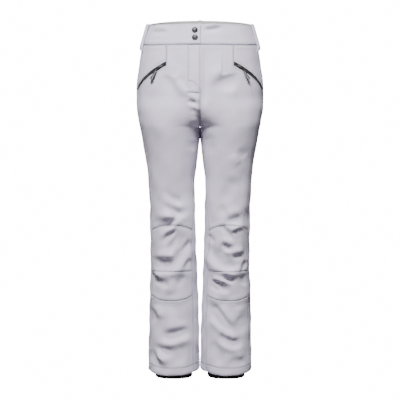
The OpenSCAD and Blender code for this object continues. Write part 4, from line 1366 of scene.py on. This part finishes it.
def make_slider(side_name, side):
    """A cast slider: a shield-shaped plate with a raised oval on it, the bail that holds the pull, and an
    oval rim on the plate.
    """
    nose = [(-12, -2.4), (-12, 2.4), (-10.6, 3.7), (1.0, 3.8), (2.6, 3.1), (5.0, 2.7), (5.6, 1.6),
            (5.6, -1.6), (5.0, -2.7), (2.6, -3.1), (1.0, -3.8), (-10.6, -3.7)]
    plate = slab(nose[::-1], 0.3, 1.5, 0.4)
    ring = slab(hull_outline(-1.6, 2.4, 1.8, 2.4)[::-1], 1.3, 1.9, 0.25)
    bail_line = smooth_line([(1.2, -2.7), (3.4, -2.75), (4.6, -1.9), (4.75, 0), (4.6, 1.9), (3.4, 2.75),
                             (1.2, 2.7)], 6)
    path = np.column_stack([bail_line[:, 0], bail_line[:, 1], 0 * bail_line[:, 0]])
    bail = sweep(path, np.tile([0, 0, 1.0], (len(path), 1)), rounded(1.4, 0.9, 0.35))
    axes = zip_frame(SLIDER_AT)
    body = "pocket_slider_body_" + side_name
    part = mirrored(placed(joined([plate, ring, bail]), zip_point(SLIDER_AT), *axes), side)
    add_piece("pocket_slider.body." + side_name, part, gunmetal, body, "gunmetal",
              "pocket_slider_" + side_name, sharp=35)
    # The oval rim is painted highlight: a paler metal than the slider it is cast with, where a ring of light
    # shows.
    oval = np.array([(1.75, y - 7.2, 0.8 * z) for y, z in hull_outline(-1.8, 2.9, 1.8, 2.9, 10)])
    rim = sweep(oval, np.tile([1.0, 0, 0], (len(oval), 1)), circle(0.55), closed=True)
    part = mirrored(placed(rim, zip_point(SLIDER_AT), *axes), side)
    add_piece("slider_rim." + side_name, part, highlight_metal, body, "gunmetal")


def make_pull(side_name, side):
    origin, *axes = pull_frame()
    body = "pocket_pull_" + side_name
    half = (LINK_W - 1) / 2
    corners = [(-half, 0.0), (-half, 5.6), (-half + 0.8, 6.4), (half - 0.8, 6.4), (half, 5.6), (half, 0.0)]
    path = np.array([(0, y, z) for z, y in corners])
    loop = sweep(path, np.tile([1.0, 0, 0], (len(path), 1)), circle(0.62), closed=True)
    bar = slab([(6.2, -1.5), (6.2, 1.5), (11, 1.1), (LINK_LEN + 0.4, 1.7), (LINK_LEN + 0.4, -1.7),
                (11, -1.1)][::-1], -0.6, 0.6, 0.25)
    part = mirrored(placed(joined([loop, bar]), origin, *axes), side)
    add_piece("pull_link.metal." + side_name, part, gunmetal, body, "gunmetal", "pull_link_" + side_name,
              sharp=35)
    start = LINK_LEN + 0.1
    outline = [(y + start, z) for y, z in hull_outline(NECK_R, NECK_R, GRIP_LEN - TIP_R, TIP_R, 20)]
    grip_part = slab(outline[::-1], -1.2, 1.2, 0.6)
    part = mirrored(placed(grip_part, origin, *axes), side)
    add_piece("pull_grip.moulding." + side_name, part, grip_black, body, "black_grip",
              "pull_grip_" + side_name, sharp=40)
    # The pale inlay is a metal facet on the black grip; its pale tone is partly painted reflection of the
    # light on the pull's inner half.
    far_end = start + GRIP_LEN
    edge = [(start + 0.6, -2.5), (far_end - TIP_R - 1, -TIP_R + 0.2), (far_end - 2.0, -4.0),
            (far_end - 0.6, -1.6), (far_end - 3, 0.0), (start + 1.2, 0.3)]
    inlay = slab(smooth_closed(edge)[::-1], 0.9, 1.6, 0.15)
    part = mirrored(placed(inlay, origin, *axes), side)
    add_piece("pull_inlay.metal." + side_name, part, highlight_metal, body, "gunmetal", sharp=40)


def smooth_closed(points, per_span=4):
    p = np.array(points, float)
    wrapped = np.vstack([p[-1:], p, p[:2]])
    return smooth_line(wrapped, per_span)[per_span:-per_span - 1][:len(p) * per_span]


# ---- Snaps -----------------------------------------------------------------------------------
def snap_frame(h, off):
    a = front_angle(h, SNAP_X)
    z = normal(h, a)
    y = unit(np.array([0, 0, 1]) - z[2] * z)
    return skin(h, a) + off * z, np.cross(y, z), y, z


def make_snaps():
    face = [(0, -0.4), (CAP_R - 1.2, -0.4), (CAP_R - 0.1, 0.05), (CAP_R + 0.2, 0.7), (CAP_R, 1.25),
            (CAP_R - 0.6, 1.75), (CAP_R - 1.3, 1.95), (CAP_R - 1.9, 1.85), (CAP_R - 2.3, 1.35),
            (CAP_R - 2.8, 1.3), (CAP_R - 3.2, 1.7), (CAP_R - 3.9, 1.95), (2.4, 2.12), (0, 2.2)]
    cap = lathe(face, 72)
    part = joined([placed(cap, *snap_frame(h, TAB_OFF + 0.1)) for h in SNAP_HEIGHTS])
    add_piece("snap_caps.turned", part, oxide, "fly_front", "gunmetal", "snap_caps", sharp=60)


# ---- CAD nodes that keep their own shape ---------------------------------------------------------
def dress_nodes():
    metal = ("fly_zip_stops", "snap_studs", "snap_backs", "snap_sockets", "fly_slider", "fly_pull",
             "pocket_stops_left", "pocket_stops_right")
    finishes = {"fly_zip_tapes": tape, "fly_zip_teeth": coil, **dict.fromkeys(metal, gunmetal)}
    for name, material in finishes.items():
        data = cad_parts[name].data
        for i in range(max(1, len(data.materials))):
            if data.materials:
                data.materials[i] = material
            else:
                data.materials.append(material)


# ---- Studio ----------------------------------------------------------------------------------
WHITE, WORLD_LIGHT, FLOOR_TONE = 16, 0.06, 0.05
KEY_LIGHT, SIDE_LIGHT, BACK_LIGHT = 236, 5, 100
MIDDLE = (0, 0, -0.5)                           # what the lights aim at, in metres


def add_light(name, place, size, watts):
    data = bpy.data.lights.new(name, "AREA")
    data.shape, data.size, data.energy = "DISK", size, watts
    lamp = bpy.data.objects.new(name, data)
    bpy.context.scene.collection.objects.link(lamp)
    lamp.location = place
    lamp.rotation_euler = (Vector(MIDDLE) - Vector(place)).to_track_quat("-Z", "Y").to_euler()


def white_for_camera(tree, output, lit, white):
    """Shows plain white to the camera, and lights the object by the other shader."""
    rays = tree.nodes.new("ShaderNodeLightPath")
    mix = tree.nodes.new("ShaderNodeMixShader")
    tree.links.new(rays.outputs["Is Camera Ray"], mix.inputs[0])
    tree.links.new(lit.outputs[0], mix.inputs[1])
    tree.links.new(white.outputs[0], mix.inputs[2])
    tree.links.new(mix.outputs[0], output.inputs[0])


def make_studio():
    world = bpy.data.worlds.new("studio")
    bpy.context.scene.world = world
    world.use_nodes = True
    tree = world.node_tree
    lit = tree.nodes["Background"]
    lit.inputs["Color"].default_value = (0.93, 0.95, 1, 1)
    lit.inputs["Strength"].default_value = WORLD_LIGHT
    white = tree.nodes.new("ShaderNodeBackground")
    white.inputs["Color"].default_value = (1, 1, 1, 1)
    white.inputs["Strength"].default_value = WHITE
    white_for_camera(tree, tree.nodes["World Output"], lit, white)
    mesh = bpy.data.meshes.new("floor")
    half, z = 5, (GAITER_END - 14) * MM
    mesh.from_pydata([(-half, -half, z), (half, -half, z), (half, half, z), (-half, half, z)], [],
                     [(0, 1, 2, 3)])
    floor = bpy.data.objects.new("floor", mesh)
    bpy.context.scene.collection.objects.link(floor)
    paper = bpy.data.materials.new("floor_paper")
    paper.use_nodes = True
    shader = paper.node_tree.nodes["Principled BSDF"]
    shader.inputs["Base Color"].default_value = (FLOOR_TONE, FLOOR_TONE, FLOOR_TONE, 1)
    shader.inputs["Roughness"].default_value = 0.9
    glow = paper.node_tree.nodes.new("ShaderNodeEmission")
    glow.inputs["Strength"].default_value = WHITE
    white_for_camera(paper.node_tree, paper.node_tree.nodes["Material Output"], shader, glow)
    mesh.materials.append(paper)
    add_light("key", (-0.3, -2.1, 2.0), 1.0, KEY_LIGHT)
    for side in SIDES.values():
        add_light("wing", (2.3 * side, -1.3, -0.3), 1.6, SIDE_LIGHT)
    add_light("back", (0.5, 2.4, 1.7), 1.2, BACK_LIGHT)


def make_camera():
    data = bpy.data.cameras.new("camera")
    data.sensor_width, data.lens = 36, 124.7
    camera = bpy.data.objects.new("camera", data)
    bpy.context.scene.collection.objects.link(camera)
    camera.location = (0, -4.0, -0.345)
    aim = Vector((0, 0, -0.505)) - camera.location
    camera.rotation_euler = aim.to_track_quat("-Z", "Y").to_euler()
    bpy.context.scene.camera = camera


make_camera()
make_studio()
press_rows()
make_waist()
make_fronts()
make_backs()
make_seam_tapes()
make_fly()
make_insides()
make_gaiters()
make_loops()
make_pocket_zips()
make_snaps()
sew_seams()
make_stitches()
dress_nodes()
